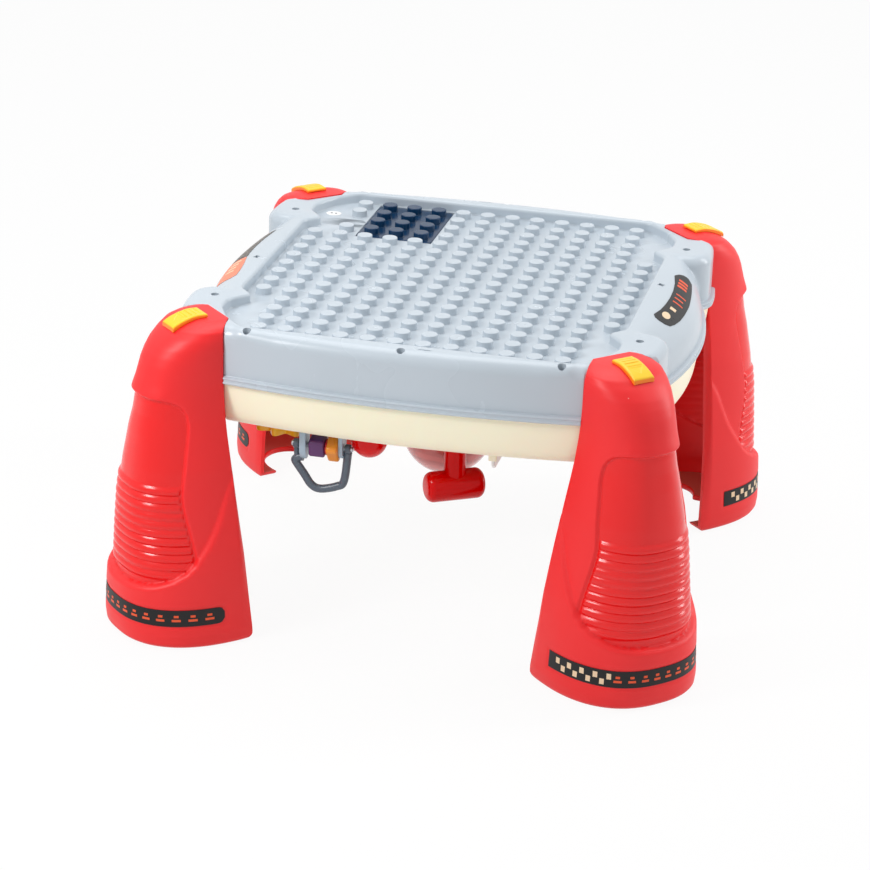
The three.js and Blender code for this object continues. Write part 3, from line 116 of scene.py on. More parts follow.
# Legs: height, half width where the outer curve starts, and depth
INNER_PLANE = 161.0
LEG_TURNS = {"front_right": -45.0, "back_right": 45.0, "back_left": 135.0, "front_left": -135.0}
COLUMN_SECTIONS = np.array([
    (0, 43, 64), (20, 43, 64), (45, 41.2, 63.5), (65, 38.6, 63), (85, 36.4, 62), (105, 34.0, 59.4),
    (125, 30.0, 56), (135, 28.0, 53.6), (143, 26.8, 52.4), (147, 26.2, 51.4), (155, 25.3, 49.4),
    (165, 24.9, 46.2), (170, 24.8, 43.8), (175, 24.7, 40.4), (180, 24.2, 35.2), (184, 23.0, 29.4),
    (186, 20.6, 24.8), (187.4, 17.2, 20.4), (188.2, 13.2, 17.0)])
FOOT_SECTIONS = np.array([
    (0, 42.8, 62.4), (1, 44.4, 64.6), (3, 45.2, 66.3), (8, 45.6, 66.9), (20, 44.9, 66.8),
    (35, 44.3, 65.8), (45, 43.6, 65.2), (57, 42.3, 64.6), (71, 40.2, 63.8), (85, 37.9, 62.9),
    (104, 34.4, 60.5), (LEG_TOP, 13.2, 17.0)])

# The open inner edge of a leg: height, depth and half width there, and where the outer curve starts
INNER_EDGE = np.array([
    (0, 0, 42.6, 8), (1, 0, 44.0, 8), (3, 0.1, 44.7, 8), (8, 0.4, 44.7, 8), (25, 1.8, 43.2, 8),
    (54, 3.7, 39.9, 8), (75, 5.1, 35.9, 8.4), (100, 6.8, 31.4, 9.2), (115, 7.9, 28.2, 9.5),
    (125, 8.7, 26.0, 9.8), (135, 9.2, 24.9, 9.9), (150, 9.3, 24.4, 9.9), (172, 9.3, 24.2, 9.9),
    (178, 0.0, 12.4, 9.8), (184, 0.0, 12.4, 9.3), (186, 0.0, 12.4, 7.2), (187.4, 0.0, 12.4, 4.2),
    (188.2, 0.0, 12.4, 1.0)])
LEG_POWER = 2.4
LEG_END = 120

# Where the sunk grip ends and where the foot begins: degrees round the leg, height
GRIP_LINE = [
    (0, 147.2), (20, 147), (36, 146.7), (46, 146), (52, 144.8), (57, 142.2), (60.5, 138.5), (62, 133),
    (62, 127), (60.5, 117), (58.3, 100), (57.5, 92.5), (58.5, 85), (60.3, 77), (63, 66), (65, 56),
    (65, 48), (60, 42), (50, 38), (42, 35.5), (32, 33.8), (20, 32.6), (0, 32)]
FOOT_LINE = [
    (0, 36.2), (10, 36.3), (25, 37.2), (35, 38.4), (42, 40), (50, 42.5), (57, 46.2), (62, 50.6),
    (66, 55.8), (71, 62.8), (76, 71), (80, 79.5), (84, 89), (88, 96), (94, 101), (105, 103.6),
    (125, 104.8)]
RIBS = {"top": 97.0, "pitch": 5.05, "count": 11}
BAND = {"low": 14.2, "high": 25.2, "turn": 80.0}
HOOD = {"low": 146.0, "edge": 148.0, "top": 156.0, "turn": 48, "fade": 14}
FILM_SINK, LEAD = 0.45, 8
FLANGE, FLANGE_TOE, FLANGE_TOP, FOOT_ROUND = 12.0, 27.0, 3.6, 5.0

# Latch buttons, their grooves and arrow, and the hook: its blocks are start, top and rounding
LATCH = {"start": 10.0, "length": 22.0, "half": 6.7, "rise": 1.75, "climb": 1.1}
GROOVES = (3.4, 6.3, 9.2, 12.1)
ARROW = {"tip": 18.6, "foot": 13.4, "half": 4.3, "depth": 0.28}
LATCH_EDGE = 1.15
HOOK = {"half": 4.0, "reach": 16.9, "low": 167.3, "blocks": ((13.4, 189.2, 0.3), (9.2, 170.8, 0.4))}
# Lugs and shelf inside a leg, and blocks of the deck's tongue: reach, low, top
LUG = {"start": 9.9, "reach": 13, "near": 9.3, "far": 11.9, "low": 154.2, "top": 185.9}
SHELF = {"reach": 14, "half": 14.2, "thickness": 2.5}
TONGUE, TONGUE_HALF = ((13, 157, 166.8), (8.4, 166.4, 171.6), (13, 171.2, 175)), 9.0
LEG_GAP, BELLY_OPENING = 0.3, 4.0


class TableSizes(bpy.types.PropertyGroup):
    """Sizes of moulded detail that the solids leave plain, in millimetres"""
    stud_radius: FloatProperty(name="Stud radius", description="Radius of one stud", default=4.7, min=1)
    stud_edge: FloatProperty(name="Stud edge", description="Rounding of a stud's top edge",
                             default=0.55, min=0)
    grip_depth: FloatProperty(name="Grip depth",
                              description="How far the grip lies below the hood", default=2.2)
    rib_height: FloatProperty(name="Rib height", description="Height of one grip rib", default=1.35)
    hood_flare: FloatProperty(name="Hood flare", description="How far the hood's lip turns out",
                              default=0.7)
    shoulder: FloatProperty(name="Foot shoulder", description="Rounding of the foot's top edge",
                            default=3.0)
    groove: FloatProperty(name="Button groove",
                          description="Depth of the grooves in a latch button", default=0.5)


class TableColours(bpy.types.PropertyGroup):
    """Colours of the plastics, as written in a paint program"""
    shell: FloatVectorProperty(name="Shell", description="Stud deck", subtype="COLOR",
                               default=(0.745, 0.785, 0.82))
    cream: FloatVectorProperty(name="Lower shell", description="Lower shell", subtype="COLOR",
                               default=(1.0, 0.967, 0.855))
    leg: FloatVectorProperty(name="Legs", description="Satin red", subtype="COLOR",
                             default=(0.945, 0.115, 0.13))
    grip: FloatVectorProperty(name="Grips", description="Polished red", subtype="COLOR",
                              default=(0.93, 0.04, 0.045))
    button: FloatVectorProperty(name="Latch", description="Latch buttons", subtype="COLOR",
                                default=(0.99, 0.80, 0.12))
    door: FloatVectorProperty(name="Door", description="Battery door", subtype="COLOR",
                              default=(0.045, 0.20, 0.335))
    loop: FloatVectorProperty(name="Loop", description="Hanging loop", subtype="COLOR",
                              default=(0.34, 0.38, 0.43))
    label: FloatVectorProperty(name="Label", description="Dark labels", subtype="COLOR",
                               default=(0.105, 0.10, 0.105))


SMALL_COLOURS = {
    "gear_yellow": (0.985, 0.74, 0.13), "gear_blue": (0.17, 0.44, 0.69),
    "orange": (0.94, 0.54, 0.14), "steel": (0.73, 0.74, 0.76), "bracket": (0.66, 0.74, 0.80),
    "bead_red": (0.80, 0.10, 0.12), "button_red": (0.88, 0.0, 0.01),
    "handle_red": (0.80, 0.0, 0.0), "dome": (0.93, 0.50, 0.48),
    "flap_white": (0.95, 0.95, 0.94), "key_white": (0.95, 0.95, 0.93),
    # The latch side colour is a painted orange shade for the latches' upright sides.
    # The pale pink of the legs' flange floor is painted light.
    "flange_painted_light": (0.80, 0.42, 0.39), "latch_side_painted_shade": (0.98, 0.52, 0.05),
    "board": (0.13, 0.40, 0.24), "screw": (0.62, 0.63, 0.65), "brass": (0.79, 0.62, 0.31),
    "cell": (0.18, 0.48, 0.29), "rubber": (0.34, 0.35, 0.37), "black": (0.14, 0.145, 0.165),
    "dust": (0.97, 0.93, 0.90), "ink_orange": (0.93, 0.36, 0.20),
    "ink_sand": (0.95, 0.84, 0.70), "ink_blue": (0.16, 0.33, 0.72),
    "film_speckled": (0.33, 0.30, 0.28), "film_specks": (0.72, 0.70, 0.66),
    "film_peach": (0.96, 0.55, 0.42), "film_white": (0.97, 0.97, 0.97), "floor": (0.93, 0.93, 0.93)}


class StudioSettings(bpy.types.PropertyGroup):
    """Lamps and floor of the studio"""
    sky: FloatProperty(name="Sky", description="Strength of the even white room", default=0.50, min=0)
    overhead: FloatProperty(name="Overhead", description="Power of the softbox above", default=14.0,
                            unit="POWER")
    key: FloatProperty(name="Key", description="Power of the near softbox at the left", default=2.9,
                       unit="POWER")
    side: FloatProperty(name="Side", description="Power of the strip light", default=5.6, unit="POWER")
    floor_radius: FloatProperty(name="Floor", description="Radius of the floor", default=9.0,
                                unit="LENGTH")


def linear(colour):
    """A colour as written, or a small colour by name, turned to the renderer's own scale."""
    if isinstance(colour, str):
        colour = SMALL_COLOURS[colour]
    return tuple(c / 12.92 if c <= 0.04045 else ((c + 0.055) / 1.055) ** 2.4 for c in colour) + (1.0,)


# Shader expressions


class Field:
    """A shader socket that takes part in Python sums."""

    def __init__(self, finish, socket):
        self.finish, self.socket = finish, socket

    def sum(self, operation, *values, clamp=False):
        settings = {"operation": operation, "use_clamp": clamp}
        return self.finish.node("ShaderNodeMath", settings, {i: v for i, v in enumerate(values)})

    def __add__(self, other):
        return self.sum("ADD", self, other)

    def __sub__(self, other):
        return self.sum("SUBTRACT", self, other)

    def __mul__(self, other):
        return self.sum("MULTIPLY", self, other)

    __radd__, __rmul__ = __add__, __mul__

    def __rsub__(self, other):
        return self.sum("SUBTRACT", other, self)

    def clamped(self):
        return self.sum("MULTIPLY", self, 1.0, clamp=True)

    def ramp(self, low, high):
        """Goes from 0 to 1 as the value goes from low to high."""
        return self.finish.node("ShaderNodeMapRange", {"interpolation_type": "SMOOTHSTEP"},
                                {"Value": self, "From Min": low, "From Max": high})


class NodeTree:
    """A node tree that is filled through one method."""

    def __init__(self, tree):
        self.tree = tree

    def node(self, kind, settings=None, values=None, output=0):
        made = self.tree.nodes.new(kind)
        for key, value in (settings or {}).items():
            setattr(made, key, value)
        for key, value in (values or {}).items():
            self.feed(made.inputs[key], value)
        return made if output is None else Field(self, made.outputs[output])

    def feed(self, socket, value):
        if isinstance(value, Field):
            self.tree.links.new(value.socket, socket)
        else:
            socket.default_value = value

    def seen_share(self):
        """1 for rays from the camera, mirror rays and rays through clear plastic."""
        outputs = self.node("ShaderNodeLightPath").socket.node.outputs
        camera, mirror, clear = (
            Field(self, outputs[f"Is {kind} Ray"]) for kind in ("Camera", "Glossy", "Transmission"))
        return (camera + mirror + clear).clamped()

    def blend(self, share, first, second, output):
        """Lets one shader show where the share is 0 and the other where it is 1."""
        mixed = self.node("ShaderNodeMixShader", None, {0: share, 1: first, 2: second})
        self.feed(output.inputs[0], mixed)


class Finish(NodeTree):
    """A material that is built from nodes."""

    def __init__(self, name, colour):
        self.material = bpy.data.materials.new(name)
        self.material.use_nodes = True
        super().__init__(self.material.node_tree)
        self.shader = self.tree.nodes["Principled BSDF"]
        self.colour = linear(colour)
        self.shader.inputs["Base Color"].default_value = self.colour
        self.place = self.node("ShaderNodeTexCoord", output="Object")

    def noise(self, scale, detail=2.0, stretch=None, seed=0.0):
        place = self.place
        if stretch or seed:
            place = self.node("ShaderNodeMapping", None, {
                "Vector": place, "Location": (seed, seed, seed), "Scale": stretch or (1, 1, 1)})
        return self.node("ShaderNodeTexNoise", None, {"Vector": place, "Scale": scale, "Detail": detail})

    def mix(self, share, first, second):
        made = self.tree.nodes.new("ShaderNodeMix")
        made.data_type = "RGBA"
        self.feed(made.inputs[0], share)
        self.feed(made.inputs[6], first)
        self.feed(made.inputs[7], second)
        return Field(self, made.outputs[2])

    def tint(self, factor):
        return tuple(min(1.0, c * factor) for c in self.colour[:3]) + (1.0,)

    def constant(self, **values):
        for key, value in values.items():
            self.shader.inputs[key.replace("_", " ")].default_value = value
        return self

    def surface(self, colour, roughness, height, bump=0.2, reach=0.0002):
        self.feed(self.shader.inputs["Base Color"], colour)
        self.feed(self.shader.inputs["Roughness"], roughness)
        normal = self.node("ShaderNodeBump", None, {"Strength": bump, "Distance": reach,
                                                    "Height": height})
        self.feed(self.shader.inputs["Normal"], normal)
        return self


def moulded(name, colour, roughness=0.42, grain=1.0, shade=0.05, specks=0.0, marks=1.0):
    """Moulded plastic: a faint cloudiness, a fine die grain, handling marks and a little dust."""
    finish = Finish(name, colour)
    cloud = finish.noise(9.0, 3.0)
    tone = finish.mix(cloud.ramp(0.3, 0.7), finish.tint(1 - shade), finish.tint(1 + shade * 0.6))
    rub = finish.noise(70.0, 6.0, (1, 1, 0.25), 3.1)
    scuff = rub.ramp(0.60, 0.74)
    tone = finish.mix(scuff * (0.10 * marks), tone, finish.tint(1.25))
    if specks:
        dust = finish.node("ShaderNodeTexVoronoi", {"feature": "F1"},
                           {"Vector": finish.place, "Scale": 46.0})
        dot = (1 - dust.ramp(0.012, 0.03)) * specks
        tone = finish.mix(dot, tone, linear("dust"))
    die = finish.noise(1500.0, 2.0)
    wave = finish.noise(28.0, 2.0, None, 7.7)
    height = die * (0.35 * grain) + wave * 0.5 + scuff * (0.2 * marks)
    return finish.surface(tone, roughness + cloud * 0.06 + scuff * (0.10 * marks) - 0.03, height,
                          0.12 * grain)


def glossy(name, colour, roughness=0.16, shade=0.05):
    """Polished plastic with hairline rubs."""
    finish = moulded(name, colour, roughness, 0.35, shade)
    finish.constant(Specular_IOR_Level=0.28)
    return finish


def metal(name, colour, roughness=0.28):
    finish = Finish(name, colour)
    drawn = finish.noise(600.0, 3.0, (1, 12, 12))
    stain = finish.noise(60.0, 4.0, None, 2.0).ramp(0.5, 0.75)
    tone = finish.mix(stain * 0.4, finish.tint(1.0), finish.tint(0.7))
    return finish.constant(Metallic=1.0).surface(tone, roughness + drawn * 0.12 + stain * 0.1, drawn,
                                                 0.15)


def printed(name, ground, seed, spot=None):
    """Printed film: an even ground, worn in places, with fine specks if a spot is given."""
    finish = Finish(name, ground)
    wear = finish.noise(420.0, 6.0, None, seed).ramp(0.60, 0.80)
    tone = finish.mix(wear * 0.2, finish.tint(0.95), finish.tint(1.6))
    if spot:
        speck = finish.noise(1100.0, 1.0, None, seed + 4).ramp(0.60, 0.68)
        tone = finish.mix(speck, tone, linear(spot))
    crease = finish.noise(160.0, 3.0, (1, 1, 5), seed)
    finish.constant(Specular_IOR_Level=0.3)
    return finish.surface(tone, 0.42 + wear * 0.25, crease, 0.12)


def circuit_green(name, colour):
    finish = Finish(name, colour)
    grid = finish.node("ShaderNodeTexBrick", None, {"Vector": finish.place, "Scale": 260.0,
                                                    "Mortar Size": 0.12}, 1)
    tone = finish.mix(grid * 0.6, finish.tint(1.0), finish.tint(0.55))
    return finish.surface(tone, 0.4 + grid * 0.2, grid, 0.2)


def clear_red(name):
    """Tinted see-through plastic with a frosted ribbed inside."""
    finish = Finish(name, "dome")
    fog = finish.noise(30.0, 3.0)
    rays = finish.node("ShaderNodeTexWave", {"bands_direction": "Z"},
                       {"Vector": finish.place, "Scale": 42.0, "Distortion": 1.5})
    tone = finish.mix(rays.ramp(0.2, 0.8) * 0.5 + fog * 0.2, finish.tint(1.1), finish.tint(0.8))
    finish.constant(Transmission_Weight=0.3, IOR=1.45, Coat_Weight=0.5)
    return finish.surface(tone, 0.14 + fog * 0.1, rays + fog, 0.35)


# Shapes, in millimetres


def band_faces(rows, columns, closed):
    """Quads that join rows of points, each row going round once or left open."""
    span = columns if closed else columns - 1
    first = np.arange(rows - 1)[:, None] * columns
    here = np.arange(span)[None, :]
    nxt = (here + 1) % columns
    quads = np.stack([first + here, first + nxt, first + columns + nxt, first + columns + here], axis=-1)
    return quads.reshape(-1, 4).tolist()


class Form:
    """Points and faces that together make one piece."""

    def __init__(self):
        self.points, self.faces, self.marks, self.total = [], [], [], 0
        self.polish = None

    def add(self, points, faces, mark=0):
        points = np.asarray(points, dtype=float).reshape(-1, 3)
        base = self.total
        self.points.append(points)
        self.faces.extend([tuple(base + i for i in face) for face in faces])
        self.marks.extend([mark] * len(faces))
        self.total += len(points)
        return self

    def rings(self, rings, mark=0, ends=True):
        """Rings of points joined into one skin with flat ends."""
        rings = np.asarray(rings, dtype=float)
        rows, columns = rings.shape[:2]
        faces = band_faces(rows, columns, True)
        if ends:
            for row in (0, rows - 1):
                loop = [Vector(p) for p in rings[row]]
                faces += [[row * columns + i for i in tri] for tri in tessellate_polygon([loop])]
        return self.add(rings, faces, mark)

    def lathe(self, profile, place=(0, 0, 0), axis="z", steps=40, mark=0):
        """Turns a profile of radius and height; one that stays off the axis closes as a ring."""
        turn = np.linspace(0, TURN, steps, endpoint=False)
        inner = [p for p in profile if p[0] > 1e-6]
        rings = np.array([[(r * math.cos(t), r * math.sin(t), h) for t in turn] for r, h in inner])
        low, high = profile[0], profile[-1]
        points = np.concatenate([rings.reshape(-1, 3), [(0, 0, low[1]), (0, 0, high[1])]])
        faces = band_faces(len(inner), steps, True)
        end, last = len(points) - 2, (len(inner) - 1) * steps
        if low[0] < 1e-6:
            faces += [(end, (i + 1) % steps, i) for i in range(steps)]
        if high[0] < 1e-6:
            faces += [(end + 1, last + i, last + (i + 1) % steps) for i in range(steps)]
        if low[0] > 1e-6 and high[0] > 1e-6:
            faces += [(i, (i + 1) % steps, last + (i + 1) % steps, last + i) for i in range(steps)]
            points = points[:-2]
        if axis == "x":
            points = points[:, [2, 0, 1]]
        if axis == "y":
            points = points[:, [1, 2, 0]]
        return self.add(points + np.array(place), faces, mark)

    def slab(self, outline, low, high, edge=0.4, mark=0, steps=3):
        """An upright plate of a plan outline with rounded edges."""
        outline = np.asarray(outline, dtype=float)
        normal = outward(outline)
        rings = []
        for level, way in ((low, 1), (high, -1)):
            part = []
            for i in range(steps + 1):
                angle = math.pi / 2 * i / steps
                inset, rise = edge * (1 - math.sin(angle)), edge * (1 - math.cos(angle))
                flat = outline - normal * inset
                part.append(np.column_stack([flat, np.full(len(flat), level + way * rise)]))
            rings += part if way == 1 else part[::-1]
        return self.rings(rings, mark)

    def box(self, low, high, edge=0.4, mark=0):
        """A box between two corners with rounded edges."""
        work = bmesh.new()
        bmesh.ops.create_cube(work, size=1)
        low, high = np.array(low, float), np.array(high, float)
        for vertex in work.verts:
            vertex.co = Vector((low + high) / 2 + (high - low) * np.array(vertex.co))
        if edge:
            bmesh.ops.bevel(work, geom=work.edges[:], offset=edge, segments=3, profile=0.5,
                            affect="EDGES")
        work.verts.index_update()
        points = [v.co[:] for v in work.verts]
        faces = [[v.index for v in f.verts] for f in work.faces]
        work.free()
        return self.add(points, faces, mark)

    def tube(self, path, radius, sides=16, mark=0):
        """A round rod along a path, its ends closed flat."""
        path = np.asarray(path, dtype=float)
        ahead = np.gradient(path, axis=0)
        ahead /= np.linalg.norm(ahead, axis=1)[:, None]
        side = np.cross(ahead[0], (0.0, 1.0, 0.0) if abs(ahead[0][1]) < 0.9 else (1.0, 0.0, 0.0))
        turn = np.linspace(0, TURN, sides, endpoint=False)
        rings = []
        for i, (point, way) in enumerate(zip(path, ahead)):
            side = side - way * np.dot(side, way)
            side /= np.linalg.norm(side)
            other = np.cross(way, side)
            reach = radius[i] if np.ndim(radius) else radius
            rings.append([point + reach * (side * math.cos(t) + other * math.sin(t)) for t in turn])
        points = np.concatenate([np.array(rings).reshape(-1, 3), [path[0], path[-1]]])
        faces = band_faces(len(rings), sides, True)
        end, last = len(points) - 2, (len(rings) - 1) * sides
        faces += [(end, (i + 1) % sides, i) for i in range(sides)]
        faces += [(end + 1, last + i, last + (i + 1) % sides) for i in range(sides)]
        return self.add(points, faces, mark)

    def mesh(self, name):
        mesh = bpy.data.meshes.new(name)
        mesh.from_pydata((np.concatenate(self.points) * MM).tolist(), [], self.faces)
        mesh.polygons.foreach_set("material_index", self.marks)
        if self.polish is not None:
            shares = np.zeros(self.total)
            shares[:self.polish.size] = self.polish.reshape(-1)
            mesh.attributes.new("polish", "FLOAT", "POINT").data.foreach_set("value", shares)
        return mesh


def outward(outline):
    """Unit normals of a closed outline that runs anticlockwise."""
    along = np.roll(outline, -1, axis=0) - np.roll(outline, 1, axis=0)
    normal = np.column_stack([along[:, 1], -along[:, 0]])
    return normal / np.linalg.norm(normal, axis=1)[:, None]


def circle(x, y, radius, steps=32):
    turn = np.linspace(0, TURN, steps, endpoint=False)
    return np.column_stack([x + radius * np.cos(turn), y + radius * np.sin(turn)])


def drum(radius, low, high, edge=0.4, steps=3):
    """Profile of a round plate or post, with rounded edges."""
    arc = [math.pi / 2 * i / steps for i in range(steps + 1)]
    bottom = [(radius - edge * (1 - math.sin(a)), low + edge * (1 - math.cos(a))) for a in arc]
    top = [(radius - edge * (1 - math.cos(a)), high - edge * (1 - math.sin(a))) for a in arc]
    return [(0, low), *bottom, *top, (0, high)]


def shaft(radius, low, high):
    """Profile of a round post with sharp edges."""
    return [(0, low), (radius, low), (radius, high), (0, high)]


def spun(points, angle):
    """Flat points turned about the origin."""
    x, y = np.asarray(points, dtype=float).T
    return np.column_stack([x * math.cos(angle) - y * math.sin(angle),
                            x * math.sin(angle) + y * math.cos(angle)])


def rectangle(low, high):
    return [(low[0], low[1]), (high[0], low[1]), (high[0], high[1]), (low[0], high[1])]


def softened(outline, rounds):
    for _ in range(rounds):
        outline = (np.roll(outline, 1, axis=0) + 2 * outline + np.roll(outline, -1, axis=0)) / 4
    return outline


def smooth_shading(mesh, sharp=32.0):
    work = bmesh.new()
    work.from_mesh(mesh)
    bmesh.ops.remove_doubles(work, verts=work.verts[:], dist=1e-7)
    bmesh.ops.recalc_face_normals(work, faces=work.faces[:])
    work.to_mesh(mesh)
    work.free()
    mesh.shade_smooth()
    mesh.set_sharp_from_angle(angle=math.radians(sharp))


def carve(piece, form, operation="DIFFERENCE"):
    """Cuts a form out of a piece, or trims the piece to it."""
    tool = bpy.data.objects.new("tool", form.mesh("tool"))
    smooth_shading(tool.data)
    bpy.context.scene.collection.objects.link(tool)
    cut = piece.modifiers.new("cut", "BOOLEAN")
    cut.operation, cut.solver, cut.object = operation, "EXACT", tool
    graph = bpy.context.evaluated_depsgraph_get()
    before, name = piece.data, piece.data.name
    piece.data = bpy.data.meshes.new_from_object(piece.evaluated_get(graph))
    piece.modifiers.clear()
    bpy.data.meshes.remove(before)
    bpy.data.meshes.remove(tool.data)
    piece.data.name = name


def body_of_shape(name, form):
    mesh = form.mesh(name)
    smooth_shading(mesh)
    piece = bpy.data.objects.new(name, mesh)
    bpy.context.scene.collection.objects.link(piece)
    return piece


def joined(piece, form):
    """Adds a form's faces to a piece as they are."""
    extra = form.mesh("extra")
    work = bmesh.new()
    work.from_mesh(piece.data)
    work.from_mesh(extra)
    work.to_mesh(piece.data)
    work.free()
    bpy.data.meshes.remove(extra)


def form_of(piece):
    """Takes a carved piece back as a form that can cut another."""
    points = np.array([v.co[:] for v in piece.data.vertices]) / MM
    form = Form().add(points, [list(p.vertices) for p in piece.data.polygons])
    bpy.data.meshes.remove(piece.data)
    return form


def dressed(piece, body, finishes, stands_for=(), sharp=32.0):
    """Gives a piece its shading, finishes and body, and hides the solids it stands for."""
    smooth_shading(piece.data, sharp)
    for finish in finishes:
        piece.data.materials.append(finish.material)
    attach(piece, body)
    if stands_for:
        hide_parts(*stands_for)
    return piece


def make(name, form, body, finishes, stands_for=(), sharp=32.0):
    return dressed(body_of_shape(name, form), body, finishes, stands_for, sharp)


# Shells


def front_at(x):
    return FRONT_REACH - x * x / (2 * FRONT_BOW)


def ear_at(y):
    return EAR_REACH - (y - EAR_Y) ** 2 / (2 * EAR_BOW)


def quarter(share, out, inset):
    """A quarter of the shell's outline: share draws the lobe in, inset is each stretch's edge."""
    lobe_out, ear_out = out - inset("lobe"), out - inset("ear")

    def lobe_x(y):
        return LOBE_INNER + (LOBE_REACH - y * y / (2 * LOBE_BOW) - LOBE_INNER) * share + lobe_out

    end = VALLEY_Y - ear_out - 1.2
    lobe = [(lobe_x(y), y) for y in np.linspace(0, end, 40)]
    arc = []
    for angle in np.linspace(-math.pi / 2, 0, 18):
        reach = EAR_CORNER + ear_out
        x, y = EAR_X + reach * math.cos(angle), EAR_Y + reach * math.sin(angle)
        arc.append((max(lobe_x(y), x), y))
    wall = [tuple(np.array(lobe[-1]) + (np.array(arc[0]) - np.array(lobe[-1])) * t)
            for t in np.linspace(0, 1, 10)[1:-1]]
    ear = [(ear_at(y) + ear_out, y) for y in np.linspace(EAR_Y, CORNER_Y, 12)[1:]]
    front = []
    for x in np.linspace(CORNER_X, 0, 50):
        room = front_at(x) - np.interp(x, *RECESS_FRONT) - EDGES["rim"] - 0.6
        front.append((x, front_at(x) + out - inset("front", min(EDGES["front"], room))))
    ends = np.array(ear[-1]), np.array(front[0])
    chamfer = [tuple(ends[0] + (ends[1] - ends[0]) * t) for t in np.linspace(0, 1, 12)[1:-1]]
    points = np.array(lobe + wall + arc + ear + chamfer + front)
    start, stop = len(lobe) - 3, len(lobe) + len(wall) + 8
    for _ in range(3):
        middle = (points[start - 1:stop - 1] + 2 * points[start:stop] + points[start + 1:stop + 1]) / 4
        points[start:stop] = middle
    return points


def mirrored(points):
    left = points[::-1][1:] * (-1, 1)
    back = np.concatenate([points, left])
    front = back[::-1][1:-1] * (1, -1)
    return np.concatenate([back, front])


def shell_ring(z, out=0.0, share=1.0, level=None):
    """The shell's outline at one height. With a level, it rounds over towards the rim's top."""
    def inset(stretch, edge=None):
        if level is None:
            return 0.0
        edge = EDGES[stretch] if edge is None else edge
        climb = min(max((level - (RIM_TOP - edge)) / edge, 0.0), 1.0)
        return edge * (1 - math.sqrt(1 - climb * climb))
    flat = mirrored(quarter(share, out, inset))
    return np.column_stack([flat, np.full(len(flat), z)])


def lobe_share(z):
    climb = min(max((z - LIP_TOP) / (RIM_TOP - LIP_TOP), 0.0), 1.0)
    return math.sqrt(1 - climb * climb)


def recess_ring(out, z):
    corners = mirrored(np.array(RECESS, dtype=float))
    line = []
    for a, b in zip(corners, np.roll(corners, -1, axis=0)):
        steps = max(int(np.linalg.norm(b - a) / 1.2), 1)
        line += [a + (b - a) * i / steps for i in range(steps)]
    flat = softened(np.array(line), 8)
    flat = flat + outward(flat) * out
    return np.column_stack([flat, np.full(len(flat), z)])


BELLY_CUTS = (100, 120, 127.9, 128.2, 129, 130, 131.5, 133, 135, 138, 141, 144, 148)
TOP_CUTS = (172, 175, 178, 180, 182, 184, 185, 186, 186.7, 187.4, 187.8, 188.2, 192)


def leg_tools(grow, opening=0.0):
    """The room that the four legs take in the shells, wider by the opening at the belly's foot."""
    form = Form()
    for turn in LEG_TURNS.values():
        rings = []
        for z in (*BELLY_CUTS, *np.linspace(152, 170, 10), *TOP_CUTS):
            down = min(max((143 - z) / 15, 0.0), 1.0)
            wide = grow + opening * (1 - math.sqrt(1 - down * down))
            local = leg_section(min(z, LEG_TOP), wide)
            back = local[0][0] - wide
            local = np.concatenate([[(back, local[0][1])], local, [(back, local[-1][1])]])
            rings.append(np.column_stack([turned(local, turn), np.full(len(local), z)]))
        form.rings(rings)
    return form


def stud_profile(sizes):
    r, edge, h = sizes.stud_radius, sizes.stud_edge, STUD_TOP - PLATE_TOP
    arc = [math.pi / 2 * i / 4 for i in range(5)]
    over = [(r - edge * (1 - math.cos(a)), h - edge * (1 - math.sin(a))) for a in arc]
    return [(0, -0.4), (r + 0.35, -0.4), (r + 0.3, 0.04), (r + 0.08, 0.22), (r, 0.5), *over,
            (r - 1.3, h), (0, h)]


def stud_xy(column, row):
    return (column - (COLUMNS - 1) / 2) * PITCH, (row - (ROWS - 1) / 2) * PITCH


def door_bounds():
    left, front = (v - PITCH / 2 for v in stud_xy(DOOR["column"], DOOR["row"]))
    return (left, front), (left + DOOR["columns"] * PITCH, front + DOOR["rows"] * PITCH)


def in_door(column, row):
    across = DOOR["column"] <= column < DOOR["column"] + DOOR["columns"]
    return across and DOOR["row"] <= row < DOOR["row"] + DOOR["rows"]


